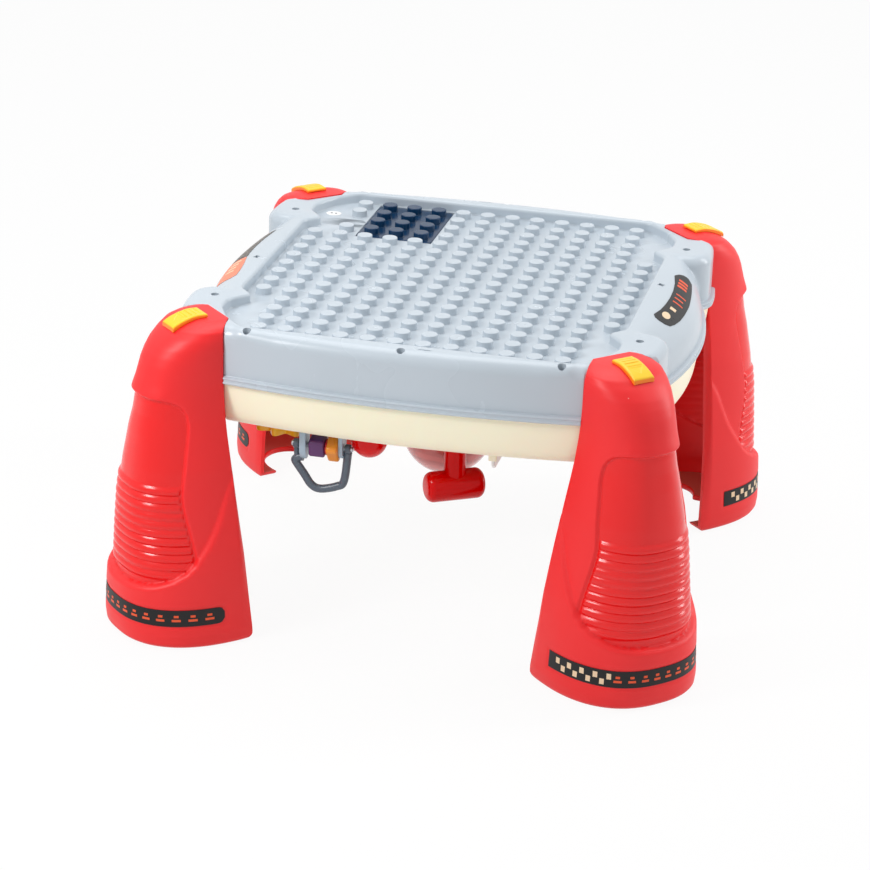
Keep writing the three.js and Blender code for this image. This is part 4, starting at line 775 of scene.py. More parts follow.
class TABLE_OT_stud_deck(bpy.types.Operator):
    """Builds the blue-grey deck with its rims, lobes, ears, studs and holes"""
    bl_idname = "activity_table.stud_deck"
    bl_label = "Stud deck"

    def execute(self, context):
        sizes, colours = context.scene.table_sizes, context.scene.table_colours
        body = body_of_shape("deck_shell", self.skin())
        carve(body, self.cavity())
        carve(body, leg_tools(LEG_GAP))
        low, high = door_bounds()
        carve(body, Form().box((low[0] - 0.35, low[1] - 0.35, SEAM - 3),
                               (high[0] + 0.35, high[1] + 0.35, RIM_TOP + 4), 0))
        carve(body, self.openings())
        studs = Form()
        profile = stud_profile(sizes)
        first = (ROWS - OUTER_ROWS) // 2
        places = [(c, r) for c in range(COLUMNS) for r in range(ROWS) if not in_door(c, r)]
        places += [(c, r) for c in (-1, COLUMNS) for r in range(first, first + OUTER_ROWS)]
        for column, row in places:
            if (column, row) == (SCOOP["column"], SCOOP["row"]):
                continue
            x, y = stud_xy(column, row)
            studs.lathe(profile, (x, y, PLATE_TOP), steps=30)
            if (column, row) in MARKED_STUDS:
                studs.lathe([(0, -0.1), (0.8, -0.1), (0.7, 0.12), (0, 0.16)],
                            (x + 0.5, y, STUD_TOP), steps=14)
        for turn in LEG_TURNS.values():
            self.tongue(studs, turn)
        joined(body, studs)
        finish = moulded("deck_grey", colours.shell, 0.27, 0.45, 0.03, 0.0, 0.12)
        dressed(body, "table", [finish], ["stud_deck"], 28.0)
        return {"FINISHED"}

    def skin(self):
        form = Form()
        rings = [shell_ring(SEAM + rise, out) for rise, out in LIP_BEADS]
        levels = [*np.linspace(161, 178, 8), *RIM_LEVELS]
        rings += [shell_ring(z, 0.0, lobe_share(z), z) for z in levels]
        rings.append(shell_ring(RIM_TOP, 0.0, 0.0, RIM_TOP))
        outer = np.array(rings)
        form.rings(outer, ends=False)
        rows, columns = outer.shape[:2]
        inner, edge = [], EDGES["rim"]
        for i in range(6):
            angle = math.pi / 2 * i / 5
            inner.append(recess_ring(edge * (1 - math.sin(angle)),
                                     RIM_TOP - edge * (1 - math.cos(angle))))
        for i in range(5):
            angle = math.pi / 2 * i / 4
            inner.append(recess_ring(-1.0 * (1 - math.cos(angle)),
                                     PLATE_TOP + 1.0 * (1 - math.sin(angle))))
        inner = np.array(inner)
        base = form.total
        form.rings(inner, ends=False)
        count = inner.shape[1]
        top_outer = [Vector(p) for p in outer[-1]]
        top_inner = [Vector(p) for p in inner[0]]
        pick = [(rows - 1) * columns + i for i in range(columns)] + [base + i for i in range(count)]
        faces = [[pick[i] for i in tri] for tri in tessellate_polygon([top_outer, top_inner])]
        plate = [base + (len(inner) - 1) * count + i for i in range(count)]
        faces += [[plate[i] for i in tri] for tri in tessellate_polygon([[Vector(p) for p in inner[-1]]])]
        faces += [list(tri) for tri in tessellate_polygon([[Vector(p) for p in outer[0]]])]
        form.faces.extend([tuple(f) for f in faces])
        form.marks.extend([0] * len(faces))
        return form

    def cavity(self):
        form = Form()
        levels = [(SEAM - 1, 1.0), (LIP_TOP, 1.0), (168.0, lobe_share(168.0)),
                  (PLATE_BOTTOM, lobe_share(PLATE_BOTTOM))]
        form.rings([shell_ring(z, -WALL, share) for z, share in levels])
        body = body_of_shape("room", form)
        carve(body, leg_tools(LEG_GAP + WALL))
        bosses = Form()
        for x, y in SCREWS + RIM_HOLES:
            bosses.lathe(shaft(BOSS, SEAM - 2, RIM_TOP), (x, y, 0), steps=24)
        carve(body, bosses)
        return form_of(body)

    def openings(self):
        form = Form()
        x, y = stud_xy(SCOOP["column"], SCOOP["row"])
        x += PITCH / 2 - SCOOP["radius"]
        arc = [-math.pi / 2 + math.pi / 2 * i / 8 for i in range(9)]
        bowl = [(SCOOP["radius"] * math.cos(a), SCOOP["depth"] * math.sin(a)) for a in arc]
        bowl = [(0, -SCOOP["depth"]), *bowl[1:], (SCOOP["radius"], 3), (0, 3)]
        form.lathe(bowl, (x - 0.02, y, PLATE_TOP), steps=36)
        for x, y in SCREWS + RIM_HOLES:
            form.lathe(shaft(HOLE, SCREW_SEAT, RIM_TOP + 1), (x, y, 0), steps=24)
        for x, y, turn in SPARKS:
            form.rings([[(a, b, z) for a, b in spun(SPARK, turn) + (x, y)] for z in (180.0, RIM_TOP + 1)])
        for place in SLITS:
            slit = circle(0, 0, 1, 16) * (4.4, 0.6) + place
            form.rings([[(a, b, z) for a, b in slit] for z in (185.6, RIM_TOP + 1)])
        return form

    def tongue(self, form, turn):
        """The tab that a leg slides over, with the pocket for the latch's hook."""
        for reach, low, high in TONGUE:
            leg_block(form, turn, (-1.6, -TONGUE_HALF), (reach, TONGUE_HALF), low, high, 0.4)


def densified(outline, step=1.5):
    line = []
    for a, b in zip(outline, np.roll(outline, -1, axis=0)):
        count = max(int(np.linalg.norm(b - a) / step), 1)
        line += [a + (b - a) * i / count for i in range(count)]
    return softened(np.array(line), 1)


class TABLE_OT_battery_door(bpy.types.Operator):
    """Builds the navy battery door with its own studs and catch tabs"""
    bl_idname = "activity_table.battery_door"
    bl_label = "Battery door"

    def execute(self, context):
        sizes, colours = context.scene.table_sizes, context.scene.table_colours
        form = Form()
        low, high = door_bounds()
        form.slab(densified(np.array(rectangle(low, high)), 3.0), PLATE_BOTTOM, PLATE_TOP, 0.35)
        profile = stud_profile(sizes)
        for column in range(DOOR["columns"]):
            for row in range(DOOR["rows"]):
                x, y = stud_xy(DOOR["column"] + column, DOOR["row"] + row)
                form.lathe(profile, (x, y, PLATE_TOP), steps=32)
        for side in (-1, 1):
            y, half = (low[1] + high[1]) / 2 + side * CATCH["spread"], CATCH["half"]
            start = high[0] - CATCH["root"], y - half, PLATE_BOTTOM - CATCH["drop"]
            form.box(start, (high[0] + CATCH["reach"], y + half, PLATE_BOTTOM - 0.4), 0.4)
            form.box(start, (high[0] - 1, y + half, PLATE_BOTTOM + 0.5), 0.3)
        make("battery_door_panel", form, "battery_door",
             [glossy("door_navy", colours.door, 0.2)], ["battery_door"])
        return {"FINISHED"}


# Levels of the cuts through the panel and of what stands on it
CUT_LOW, CUT_HIGH, ROOT = PANEL_BOTTOM - 9, PANEL_TOP + 1, PANEL_TOP - 1
CLEAR = 0.4
FLANGE_LEVELS = 131.0, 132.6

# Posts of the boards, in pairs: middle and half spacing along x, place along y, and top
POST_RADIUS = 3.0
BOARD_POSTS = ((0, 74.5, 67.0, 138.7), (12.9, 23, -70.0, 136.0), (-22.5, 15, -116.0, 140.2),
               (75, 28, -28, 139.4), (75, 28, 28, 139.4))


def panel_bore(form, x, y, radius, steps):
    """A round cutting prism through the lower shell's panel."""
    form.rings([[(a, b, z) for a, b in circle(x, y, radius, steps)] for z in (CUT_LOW, CUT_HIGH)])


def panel_slot(low, high, radius=1.2):
    """A cutting prism with rounded corners through the lower shell's panel."""
    corners = [(high[0], high[1], 0), (low[0], high[1], 1), (low[0], low[1], 2), (high[0], low[1], 3)]
    line = []
    for x, y, k in corners:
        cx, cy = x - radius * (1 if k in (0, 3) else -1), y - radius * (1 if k in (0, 1) else -1)
        line += [(cx + radius * math.cos(math.pi / 2 * (k + t)),
                  cy + radius * math.sin(math.pi / 2 * (k + t))) for t in np.linspace(0, 1, 5)]
    return [[(x, y, z) for x, y in line] for z in (CUT_LOW, CUT_HIGH)]


# Sizes of the toys on the underside
RED_BUTTON = {"x": -22.5, "y": -116.0, "radius": 10.4, "reach": 17.2, "flange": 12.2, "collar": 2.2}
HANDLE_COLLAR = [(0, 124.2), (0.3, 124.9), (0.9, 125.6), (1.0, 126.4), (0.9, 127.4), (0, 127.6)]
KNOB_FACE = [(0, 0.5), (3.2, 0.45), (5.4, 0.15), (6.6, 0), (7.4, 0.25), (8.0, 1.0)]
STUB = {"x": 66.0, "y": -118.0, "radius": 5.0, "reach": 4.5}
HANDLE = {"x": 26.5, "y": -110.0, "drop": 31.0, "radius": 8.9, "length": 34.6, "angle": 32.0,
          "stem": 6.4, "edge": 4.4, "end": 130.7, "pin": (3.0, 129.6, 135.2)}
DOME = {"x": 12.9, "y": -70.0, "radius": 26.8, "sink": 12.9, "wall": 2.0, "window": 18.0}
FLAP = {"x": 52.0, "y": -108.0, "width": 36.0, "length": 8.4, "z": PANEL_BOTTOM - 3.6,
        "lug": 2.3, "lug_width": 2.0, "barrel": 2.3, "pin": 0.9, "corner": 4.2}
KEYS = {
    "count": 5, "width": 25.0, "pitch": 28.0, "front": 62.0, "back": 114.0, "pivot_y": 121.0,
    "drop": 7.0, "rise": 5.0, "arm": 4.0, "arm_top": 136.7, "lug_x": 72.7, "lug_half": 1.2,
    "lug_y": (115.6, 126.4)}
KNOBS = {"count": 3, "x": 118.0, "spread": 24.0, "radius": 8.0, "reach": 4.0, "flange": 10.0}
SWITCH = {"x": -121.0, "half_x": 2.6, "half_y": 5.0, "travel": 10.0, "reach": 4.0,
          "plate_x": 5.5, "plate_y": 11.4, "guide": 6.6, "guide_half": 0.7, "guide_y": 16.4,
          "guide_top": 132.7}
SPEAKER = {"x": -60.0, "y": 8.0, "slots": 5, "width": 3.0, "pitch": 7.0, "length": 34.0,
           "rib": 25.4, "rib_wall": 2.0, "rib_top": 135.1}
GEARS = {
    "teeth": 9, "radius": 17.0, "lobe": 2.7, "x": -78.0, "y": -93.0, "turn": 102.0, "gap": 1.3,
    "middle": 118.2, "half": 4.0, "bore": 4.6, "pin": 4.1, "hub": 7.0, "hub_low": 122.6,
    "cap_low": 111.3, "cap_top": 113.9, "plug": (1.5, 112.9, 121.9)}
GEAR_CAP = [(0, 0), (3.4, 0), (5.2, 0.3), (6.5, 1.0), (7.0, 1.9), (7.0, 2.3), (6.7, 2.6), (0, 2.6)]
# Beads: name, start along the axle, width, turn, half height, colour
BEADS = (("purple", -56.6, 9.3, 8, 5.5, (0.36, 0.17, 0.40)),
         ("orange", -45.7, 6.6, 38, 6.6, (0.94, 0.58, 0.14)))
LOOP = {"rod": 2.4, "drop": 26.7, "eye": 2.9, "eye_width": 3.4, "tail": 9.6, "tail_rod": 1.5}
LOOP_ROUTE = [(0.13, 0.30), (0.05, 0.315), (-0.015, 0.36), (-0.012, 0.43), (0.15, 0.69), (0.3, 0.93),
              (0.48, 1), (0.79, 0.9), (0.93, 0.75), (1, 0.08)]
AXLE = {"y": -119.0, "z": 115.0, "left": -62.5, "right": -36.5, "rod": 1.5, "past": 5.3}
BRACKET = {"half": 5, "height": 12.7, "foot": 6.5, "foot_drop": 2.6}
RED_DISC = 5.0, -47.0, -45.9


def flap_ends():
    return FLAP["y"] - FLAP["width"] / 2, FLAP["y"] + FLAP["width"] / 2


def gear_places():
    reach, turn = 2 * GEARS["radius"] + GEARS["gap"], math.radians(GEARS["turn"])
    x, y = GEARS["x"], GEARS["y"]
    return [(x, y), (x + reach * math.cos(turn), y + reach * math.sin(turn))]


def key_x(index):
    return (index - (KEYS["count"] - 1) / 2) * KEYS["pitch"]


class TABLE_OT_lower_shell(bpy.types.Operator):
    """Builds the cream lower shell with its rounded belly, openings, collar, posts and lugs"""
    bl_idname = "activity_table.lower_shell"
    bl_label = "Lower shell"

    def execute(self, context):
        form = Form()
        form.rings([shell_ring(z, out) for z, out in BELLY])
        body = body_of_shape("lower_case", form)
        room = Form().rings([shell_ring(z, out - WALL) for z, out in BELLY_ROOM])
        room = body_of_shape("room", room)
        carve(room, leg_tools(LEG_GAP + WALL, BELLY_OPENING))
        posts = Form()
        for x, y in SCREWS:
            posts.lathe(shaft(BOSS, PANEL_BOTTOM, SEAM + 2), (x, y, 0), steps=24)
        carve(room, posts)
        carve(body, form_of(room))
        carve(body, leg_tools(LEG_GAP, BELLY_OPENING))
        carve(body, self.openings())
        joined(body, self.fittings())
        colours = context.scene.table_colours
        finish = moulded("shell_cream", colours.cream, 0.36, 0.6, 0.02)
        finish.constant(Subsurface_Weight=0.15, Subsurface_Scale=0.004)
        dressed(body, "table", [finish], ["lower_shell"], 28.0)
        return {"FINISHED"}

    def openings(self):
        form = Form()
        for i in range(KEYS["count"]):
            x, half = key_x(i), KEYS["width"] / 2 + CLEAR
            form.rings(panel_slot((x - half, KEYS["front"] - 1.2), (x + half, KEYS["back"] + CLEAR)))
        for i in range(KNOBS["count"]):
            panel_bore(form, KNOBS["x"], (i - 1) * KNOBS["spread"], KNOBS["radius"] + CLEAR, 40)
        for i in range(SPEAKER["slots"]):
            y = SPEAKER["y"] + (i - (SPEAKER["slots"] - 1) / 2) * SPEAKER["pitch"]
            half, tall = SPEAKER["length"] / 2, SPEAKER["width"] / 2
            form.rings(panel_slot((SPEAKER["x"] - half, y - tall), (SPEAKER["x"] + half, y + tall), 1.45))
        wide, reach = SWITCH["half_x"] + CLEAR, SWITCH["half_y"] + SWITCH["travel"] / 2 + CLEAR
        form.rings(panel_slot((SWITCH["x"] - wide, -reach), (SWITCH["x"] + wide, reach), 0.8))
        for toy, radius in ((RED_BUTTON, RED_BUTTON["radius"] + CLEAR), (HANDLE, HANDLE["stem"] + CLEAR),
                            (DOME, DOME["window"])):
            panel_bore(form, toy["x"], toy["y"], radius, 48)
        return form

    def fittings(self):
        form = Form()
        low = PANEL_BOTTOM - RED_BUTTON["collar"]
        inner, outer = (RED_BUTTON["radius"] + gap for gap in (CLEAR, RED_BUTTON["collar"]))
        wall = [(inner, PANEL_BOTTOM + 1), (inner, low + 0.4), (inner + 0.4, low), (outer - 0.9, low),
                (outer - 0.3, low + 0.3), (outer, low + 0.9), (outer, PANEL_BOTTOM - 0.8),
                (outer + 0.9, PANEL_BOTTOM + 0.4), (outer + 0.9, PANEL_BOTTOM + 1)]
        form.lathe(wall, (RED_BUTTON["x"], RED_BUTTON["y"], 0), steps=56)
        for x, y in gear_places():
            form.lathe(drum(GEARS["pin"], GEARS["cap_top"], ROOT, 0.3), (x, y, 0), steps=32)
            form.lathe(drum(GEARS["hub"], GEARS["hub_low"], ROOT, 0.5), (x, y, 0), steps=40)
        stub = drum(STUB["radius"], PANEL_BOTTOM - STUB["reach"], ROOT, 0.9, 5)
        form.lathe(stub, (STUB["x"], STUB["y"], 0), steps=36)
        (front, back), lug = flap_ends(), FLAP["lug"]
        for y in (front - FLAP["lug_width"] - CLEAR, back + CLEAR):
            low = FLAP["x"] - lug, y, FLAP["z"] - lug
            high = FLAP["x"] + lug, y + FLAP["lug_width"], PANEL_TOP - 0.5
            form.box(low, high, 0.5)
        floor, (front, back) = PANEL_BOTTOM + 1.3, KEYS["lug_y"]
        for side in (-1, 1):
            x, half = side * KEYS["lug_x"], KEYS["lug_half"]
            form.box((x - half, front, floor - 0.1), (x + half, back, KEYS["arm_top"]), 0.3)
            for middle, spacing, y, top in BOARD_POSTS:
                form.lathe(drum(POST_RADIUS, floor, top, 0.3), (middle + side * spacing, y, 0), steps=20)
            x, half = SWITCH["x"] + side * SWITCH["guide"], SWITCH["guide_half"]
            form.box((x - half, -SWITCH["guide_y"], floor),
                     (x + half, SWITCH["guide_y"], SWITCH["guide_top"]), 0.2)
        outer = SPEAKER["rib"] + SPEAKER["rib_wall"]
        rib = rectangle((SPEAKER["rib"], floor), (outer, SPEAKER["rib_top"]))
        form.lathe(rib, (SPEAKER["x"], SPEAKER["y"], 0), steps=56)
        return form


# Legs


def turned(local, degrees):
    """Points of a leg's own frame, depth and width, moved to the table's corner."""
    angle = math.radians(degrees)
    x, y = INNER_PLANE + local[..., 0], local[..., 1]
    return np.stack([x * math.cos(angle) - y * math.sin(angle),
                     x * math.sin(angle) + y * math.cos(angle)], axis=-1)


def leg_places(sections, z, grow, turns):
    """Depth and width of a leg's skin at heights and turns about its middle, with plan normals."""
    half, depth = (np.interp(z, sections[:, 0], sections[:, k]) + grow for k in (1, 2))
    start, edge, blend = (np.interp(z, INNER_EDGE[:, 0], INNER_EDGE[:, k]) for k in (1, 2, 3))
    edge = edge + grow
    angle = np.radians(np.clip(turns, -90, 90))
    c, s = np.cos(angle), np.sin(angle)
    reach = (np.abs(c) ** LEG_POWER + np.abs(s) ** LEG_POWER) ** (-1 / LEG_POWER)
    along = blend + (depth - blend) * reach * c
    across = half * reach * s
    past = np.clip((np.abs(turns) - 90) / (LEG_END - 90), 0, 1)
    bend = past ** np.interp(z, [150, 172], [2, 1])
    straight = np.abs(turns) > 90
    along = np.where(straight, blend + (start - blend) * past, along)
    across = np.where(straight, np.sign(turns) * (half + (edge - half) * bend), across)
    nd = np.where(straight, 0.0,
                  np.sign(c) * (np.abs(reach * c)) ** (LEG_POWER - 1) / np.maximum(depth - blend, 1))
    nw = np.where(straight, np.sign(turns),
                  np.sign(s) * (np.abs(reach * s)) ** (LEG_POWER - 1) / np.maximum(half, 1))
    size = np.hypot(nd, nw) + 1e-9
    return along, across, nd / size, nw / size


def leg_section(z, grow):
    turns = np.arange(-LEG_END, LEG_END + 0.001, 4.0)
    along, across, _, _ = leg_places(COLUMN_SECTIONS, np.full(len(turns), float(z)), grow, turns)
    return np.column_stack([along, across])


def spread(turn):
    """Degrees round the leg as rough millimetres along its skin."""
    turn = np.abs(turn)
    return np.where(turn < 40, 0.62 * turn, 24.8 + 0.88 * (turn - 40))


def distance_to(line, across, height):
    """Least distance from points of the developed skin to a line on it."""
    nodes = np.array([(float(spread(np.array(t))), z) for t, z in line])
    best = np.full(across.shape, 1e9)
    for (x0, z0), (x1, z1) in zip(nodes[:-1], nodes[1:]):
        dx, dz = x1 - x0, z1 - z0
        t = np.clip(((across - x0) * dx + (height - z0) * dz) / (dx * dx + dz * dz + 1e-9), 0, 1)
        best = np.minimum(best, np.hypot(across - x0 - t * dx, height - z0 - t * dz))
    return best


def smooth_step(value, low, high):
    t = np.clip((value - low) / (high - low), 0, 1)
    return t * t * (3 - 2 * t)


def in_grip(z, turn):
    line = np.array(GRIP_LINE)[::-1]
    limit = np.interp(z, line[:, 1], line[:, 0], left=0, right=0)
    return (np.abs(turn) < limit) & (z < GRIP_LINE[0][1])


def leg_skin(sizes, heights, turns, grow):
    """The leg's skin on a grid: hood, sunk grip with ribs, proud foot and the film's band."""
    z, turn = np.meshgrid(heights, turns, indexing="ij")
    across = spread(turn)
    column = leg_places(COLUMN_SECTIONS, z, grow, turn)
    foot = leg_places(FOOT_SECTIONS, z, grow, turn)
    line = np.array(FOOT_LINE)
    below = np.interp(np.abs(turn), line[:, 0], line[:, 1]) - z
    depth_below = np.where(below > 0, distance_to(FOOT_LINE, across, z), 0)
    share = np.sqrt(1 - (1 - np.clip(depth_below / sizes.shoulder, 0, 1)) ** 2)
    near = distance_to(GRIP_LINE, across, z)
    signed = np.where(in_grip(z, turn), near, -near)
    sink = sizes.grip_depth * smooth_step(signed, -0.4, 1.5)
    phase = (RIBS["top"] - z) / RIBS["pitch"]
    rib = np.abs(np.sin(math.pi * phase)) ** 0.62
    rib = np.where((phase > 0) & (phase < RIBS["count"]), rib, 0) * smooth_step(signed, 0.6, 3.4)
    over = smooth_step(z, HOOD["low"], HOOD["edge"]) * (1 - smooth_step(z, HOOD["edge"], HOOD["top"]))
    over = over * smooth_step(HOOD["turn"] - np.abs(turn), 0, HOOD["fade"])
    lift = sizes.rib_height * rib - sink + sizes.hood_flare * over
    band = smooth_step(z, BAND["low"] - 1.1, BAND["low"] - 0.3)
    band = band * (1 - smooth_step(z, BAND["high"] + 0.3, BAND["high"] + 1.1))
    band = band * smooth_step(BAND["turn"] + 2 - np.abs(turn), 0, 1.5)
    along = column[0] + column[2] * lift
    width = column[1] + column[3] * lift
    along = along + (foot[0] - column[0] - column[2] * lift) * share - foot[2] * band * FILM_SINK
    width = width + (foot[1] - column[1] - column[3] * lift) * share - foot[3] * band * FILM_SINK
    along = along + foot_round(z) * np.clip((LEAD - along) / LEAD, 0, 1)
    return np.stack([along, width, z], axis=-1)


def foot_round(z):
    """How far the open edge draws back where it rounds over to the floor."""
    return FOOT_ROUND - np.sqrt(np.clip(FOOT_ROUND ** 2 - np.clip(FOOT_ROUND - z, 0, None) ** 2, 0, None))


def grip_polish(heights, turns):
    """How polished the skin is: full in the grip, fading in its wall and towards the foot."""
    z, turn = np.meshgrid(heights, turns, indexing="ij")
    foot = np.array(FOOT_LINE)
    deep = smooth_step(distance_to(GRIP_LINE, spread(turn), z), 0.3, 1.7)
    above = smooth_step(z - np.interp(np.abs(turn), foot[:, 0], foot[:, 1]), -0.5, 5.0)
    return in_grip(z, turn) * deep * above


def leg_block(form, degrees, low, high, bottom, top, edge):
    """A rounded block between two corners in a leg's own frame of depth and width."""
    form.slab(densified(turned(np.array(rectangle(low, high)), degrees)), bottom, top, edge)


def leg_heights():
    return np.concatenate([[0, 0.25, 0.7, 1.3, 2.1, 3.0, 4.0, 5.2], np.arange(6.5, 36, 1.05),
                           np.arange(36.2, 101, 0.62), np.arange(101.5, 134, 1.1),
                           np.arange(134.5, 150, 0.6), np.arange(150.5, 180, 1.3),
                           np.arange(180.5, 186.5, 0.6), [186.8, 187.2, 187.6, 187.9, 188.08, LEG_TOP]])


def leg_form(sizes, degrees):
    side = np.concatenate([np.arange(0, 54, 1.2), np.arange(54, 66, 0.5),
                           np.arange(66, LEG_END + 0.001, 1.2)])
    turns = np.concatenate([-side[:0:-1], side])
    outer = leg_skin(sizes, leg_heights(), turns, 0.0)
    crown = np.clip((outer[..., 2] - LEG_TOP + 0.3) / 0.3, 0, 1)
    outer[..., 2] -= 0.15 * crown
    levels = leg_heights()
    between = levels[(levels > FLANGE_TOP + 0.5) & (levels < LEG_TOP - WALL - 0.4)]
    inner_levels = np.concatenate([between[::2], [LEG_TOP - WALL]])
    inner = leg_skin(sizes, inner_levels, turns, -WALL + 0.2)
    inner_foot = leg_skin(sizes, np.array([FLANGE_TOP + 0.3]), turns, -WALL + 0.2)
    inner_foot[..., 2] = FLANGE_TOP
    rim = []
    flange = -FLANGE - FLANGE_TOE * np.clip(np.cos(np.radians(turns)), 0, 1) ** 2
    for z, grow in ((FLANGE_TOP, 1.3), (FLANGE_TOP - 0.35, 0.4), (FLANGE_TOP - 1.2, 0.0), (1.2, 0.0),
                    (0.35, 0.4), (0.0, 1.2)):
        row = leg_skin(sizes, np.array([FOOT_ROUND]), turns, flange + grow)
        row[..., 0] += foot_round(np.array(z)) * np.clip((LEAD - row[..., 0]) / LEAD, 0, 1)
        row[..., 2] = z
        rim.append(row[0])
    rows = np.concatenate([inner[::-1], inner_foot, np.array(rim), outer])
    form = Form()
    count = len(turns)
    flat = turned(rows[..., :2], degrees)
    points = np.concatenate([flat, rows[..., 2:]], axis=-1)
    faces = band_faces(len(rows), count, False)
    marks = np.zeros((len(rows) - 1, count - 1), dtype=int)
    # The flange's top ring takes the second finish, its painted light.
    marks[len(inner_levels)] = 1
    form.polish = np.zeros((len(rows), count))
    form.polish[-len(levels):] = grip_polish(levels, turns)
    for k in (0, count - 1):
        loop = [Vector((rows[r, k, 1], rows[r, k, 2], 0)) for r in range(len(rows))]
        faces += [[r * count + k for r in tri] for tri in tessellate_polygon([loop])]
    for r in (0, len(rows) - 1):
        loop = [Vector((rows[r, k, 0], rows[r, k, 1], 0)) for k in range(count)]
        faces += [[r * count + k for k in tri] for tri in tessellate_polygon([loop])]
    last = (len(rows) - 1) * count
    faces.append([0, count - 1, last + count - 1, last])
    form.add(points, faces)
    form.marks[:marks.size] = marks.reshape(-1).tolist()
    for side in (-1, 1):
        low, high = sorted((side * LUG["near"], side * LUG["far"]))
        leg_block(form, degrees, (LUG["start"], low), (LUG["reach"], high), LUG["low"], LUG["top"], 0.3)
    leg_block(form, degrees, (LUG["start"], -SHELF["half"]), (SHELF["reach"], SHELF["half"]),
              LUG["low"], LUG["low"] + SHELF["thickness"], 0.4)
    return form


class TABLE_OT_legs(bpy.types.Operator):
    """Builds the four hollow red legs with hoods, ribbed grips and proud feet"""
    bl_idname = "activity_table.legs"
    bl_label = "Legs"

    def execute(self, context):
        sizes = context.scene.table_sizes
        colours = context.scene.table_colours
        finish = self.red(colours.leg, colours.grip)
        # The flange top inside each leg gets a pale pink: painted light, standing in for the floor's
        # light reflected there.
        floor = moulded("leg_floor_red", "flange_painted_light", 0.5, 0.8)
        for corner, degrees in LEG_TURNS.items():
            make(f"{corner}_leg_shell", leg_form(sizes, degrees), "table", [finish, floor],
                 [f"leg_{corner}"], 60.0)
        return {"FINISHED"}

    def red(self, colour, polished):
        """Satin red that turns deeper and glossier where the skin's own polish says so."""
        finish = moulded("leg_red", colour, 0.46, 1.0, 0.04, 0.5, 0.6)
        polish = finish.node("ShaderNodeAttribute", {"attribute_name": "polish"}, output="Fac")
        base, rough = finish.shader.inputs["Base Color"], finish.shader.inputs["Roughness"]
        satin, matt = Field(finish, base.links[0].from_socket), Field(finish, rough.links[0].from_socket)
        finish.feed(base, finish.mix(polish, satin, linear(polished)))
        finish.feed(rough, matt - polish * 0.26)
        finish.constant(Subsurface_Weight=0.12, Subsurface_Scale=0.005)
        return finish


def crown_height(depth):
    line = COLUMN_SECTIONS[::-1]
    return np.interp(depth, line[:, 2], line[:, 0])


class TABLE_OT_latches(bpy.types.Operator):
    """Builds the yellow latch buttons with their grooves and arrow"""
    bl_idname = "activity_table.latches"
    bl_label = "Latch buttons"

    def execute(self, context):
        finish = self.yellow(context.scene.table_colours.button)
        groove = context.scene.table_sizes.groove
        for corner, degrees in LEG_TURNS.items():
            make(f"{corner}_latch_slider", self.form(degrees, groove), f"latch_{corner}",
                 [finish], [f"latch_button_{corner}"], 40.0)
        return {"FINISHED"}

    def yellow(self, colour):
        """Yellow seen from above, with a painted orange shade where the sides stand upright."""
        finish = moulded("latch_yellow", colour, 0.32, 0.6, 0.03)
        facing = finish.node("ShaderNodeNewGeometry", output=1)
        upright = finish.node("ShaderNodeSeparateXYZ", None, {"Vector": facing}, 2)
        base = finish.shader.inputs["Base Color"]
        plain = Field(finish, base.links[0].from_socket)
        side = linear("latch_side_painted_shade")
        # Painted shade: upright faces turn orange by how they face, not by the plastic's own colour.
        finish.feed(base, finish.mix(upright.ramp(0.12, 0.55), side, plain))
        return finish

    def form(self, degrees, groove):
        form = Form()
        length, half, start = LATCH["length"], LATCH["half"], LATCH["start"]
        u = np.linspace(0, 1, 89)
        v = np.linspace(-1, 1, 57)
        uu, vv = np.meshgrid(u, v, indexing="ij")
        depth, width = start + length * uu, half * vv
        along = start - 1 + (length + 2) * np.linspace(0, 1, 60)
        level = np.convolve(np.pad(crown_height(along), 6, mode="edge"), np.ones(13) / 13, "valid")
        crown = np.interp(depth, along, level)
        top = crown + 0.3 + LATCH["rise"] + LATCH["climb"] * uu
        for place in GROOVES:
            near = np.abs(depth - start - place)
            span = smooth_step(4.9 - np.abs(width), 0, 0.4)
            top = top - groove * (1 - smooth_step(near, 0.15, 0.5)) * span
        tip, foot = start + ARROW["tip"], start + ARROW["foot"]
        reach = np.clip((tip - depth) / (tip - foot), 0, 1) * ARROW["half"]
        inside = np.minimum(reach - np.abs(width), depth - foot)
        top = top - ARROW["depth"] * smooth_step(inside, -0.1, 0.35) * (depth < tip)
        edge = LATCH_EDGE
        side = np.minimum.reduce([half - np.abs(width), depth - start, start + length - depth])
        drop = np.where(side < edge, edge - np.sqrt(np.clip(edge ** 2 - (edge - side) ** 2, 0, None)), 0)
        top = top - drop
        cap = np.stack([depth, width, top], axis=-1)
        rows, columns = uu.shape
        points = np.concatenate([turned(cap[..., :2], degrees), cap[..., 2:]], axis=-1).reshape(-1, 3)
        faces = band_faces(rows, columns, False)
        rim = [i * columns for i in range(rows)]
        rim += [(rows - 1) * columns + j for j in range(1, columns)]
        rim += [i * columns + columns - 1 for i in range(rows - 2, -1, -1)]
        rim += range(columns - 2, 0, -1)
        away = np.clip((np.abs(width.reshape(-1)[rim]) - 3) / 4, 0, 1)
        skirt = points[rim].copy()
        skirt[:, 2] = crown.reshape(-1)[rim] + 0.3 - 0.27 * away
        base = len(points)
        points = np.concatenate([points, skirt])
        size = len(rim)
        faces += [[rim[i], rim[(i + 1) % size], base + (i + 1) % size, base + i] for i in range(size)]
        loop = [Vector((p[0], p[1], 0)) for p in skirt]
        faces += [[base + i for i in tri] for tri in tessellate_polygon([loop])]
        form.add(points, faces)
        reach, half = HOOK["reach"], HOOK["half"]
        for start, top, edge in HOOK["blocks"]:
            leg_block(form, degrees, (start, -half), (reach, half), HOOK["low"], top, edge)
        return form


# Labels: films on the lobes as places along y and degrees up the dome

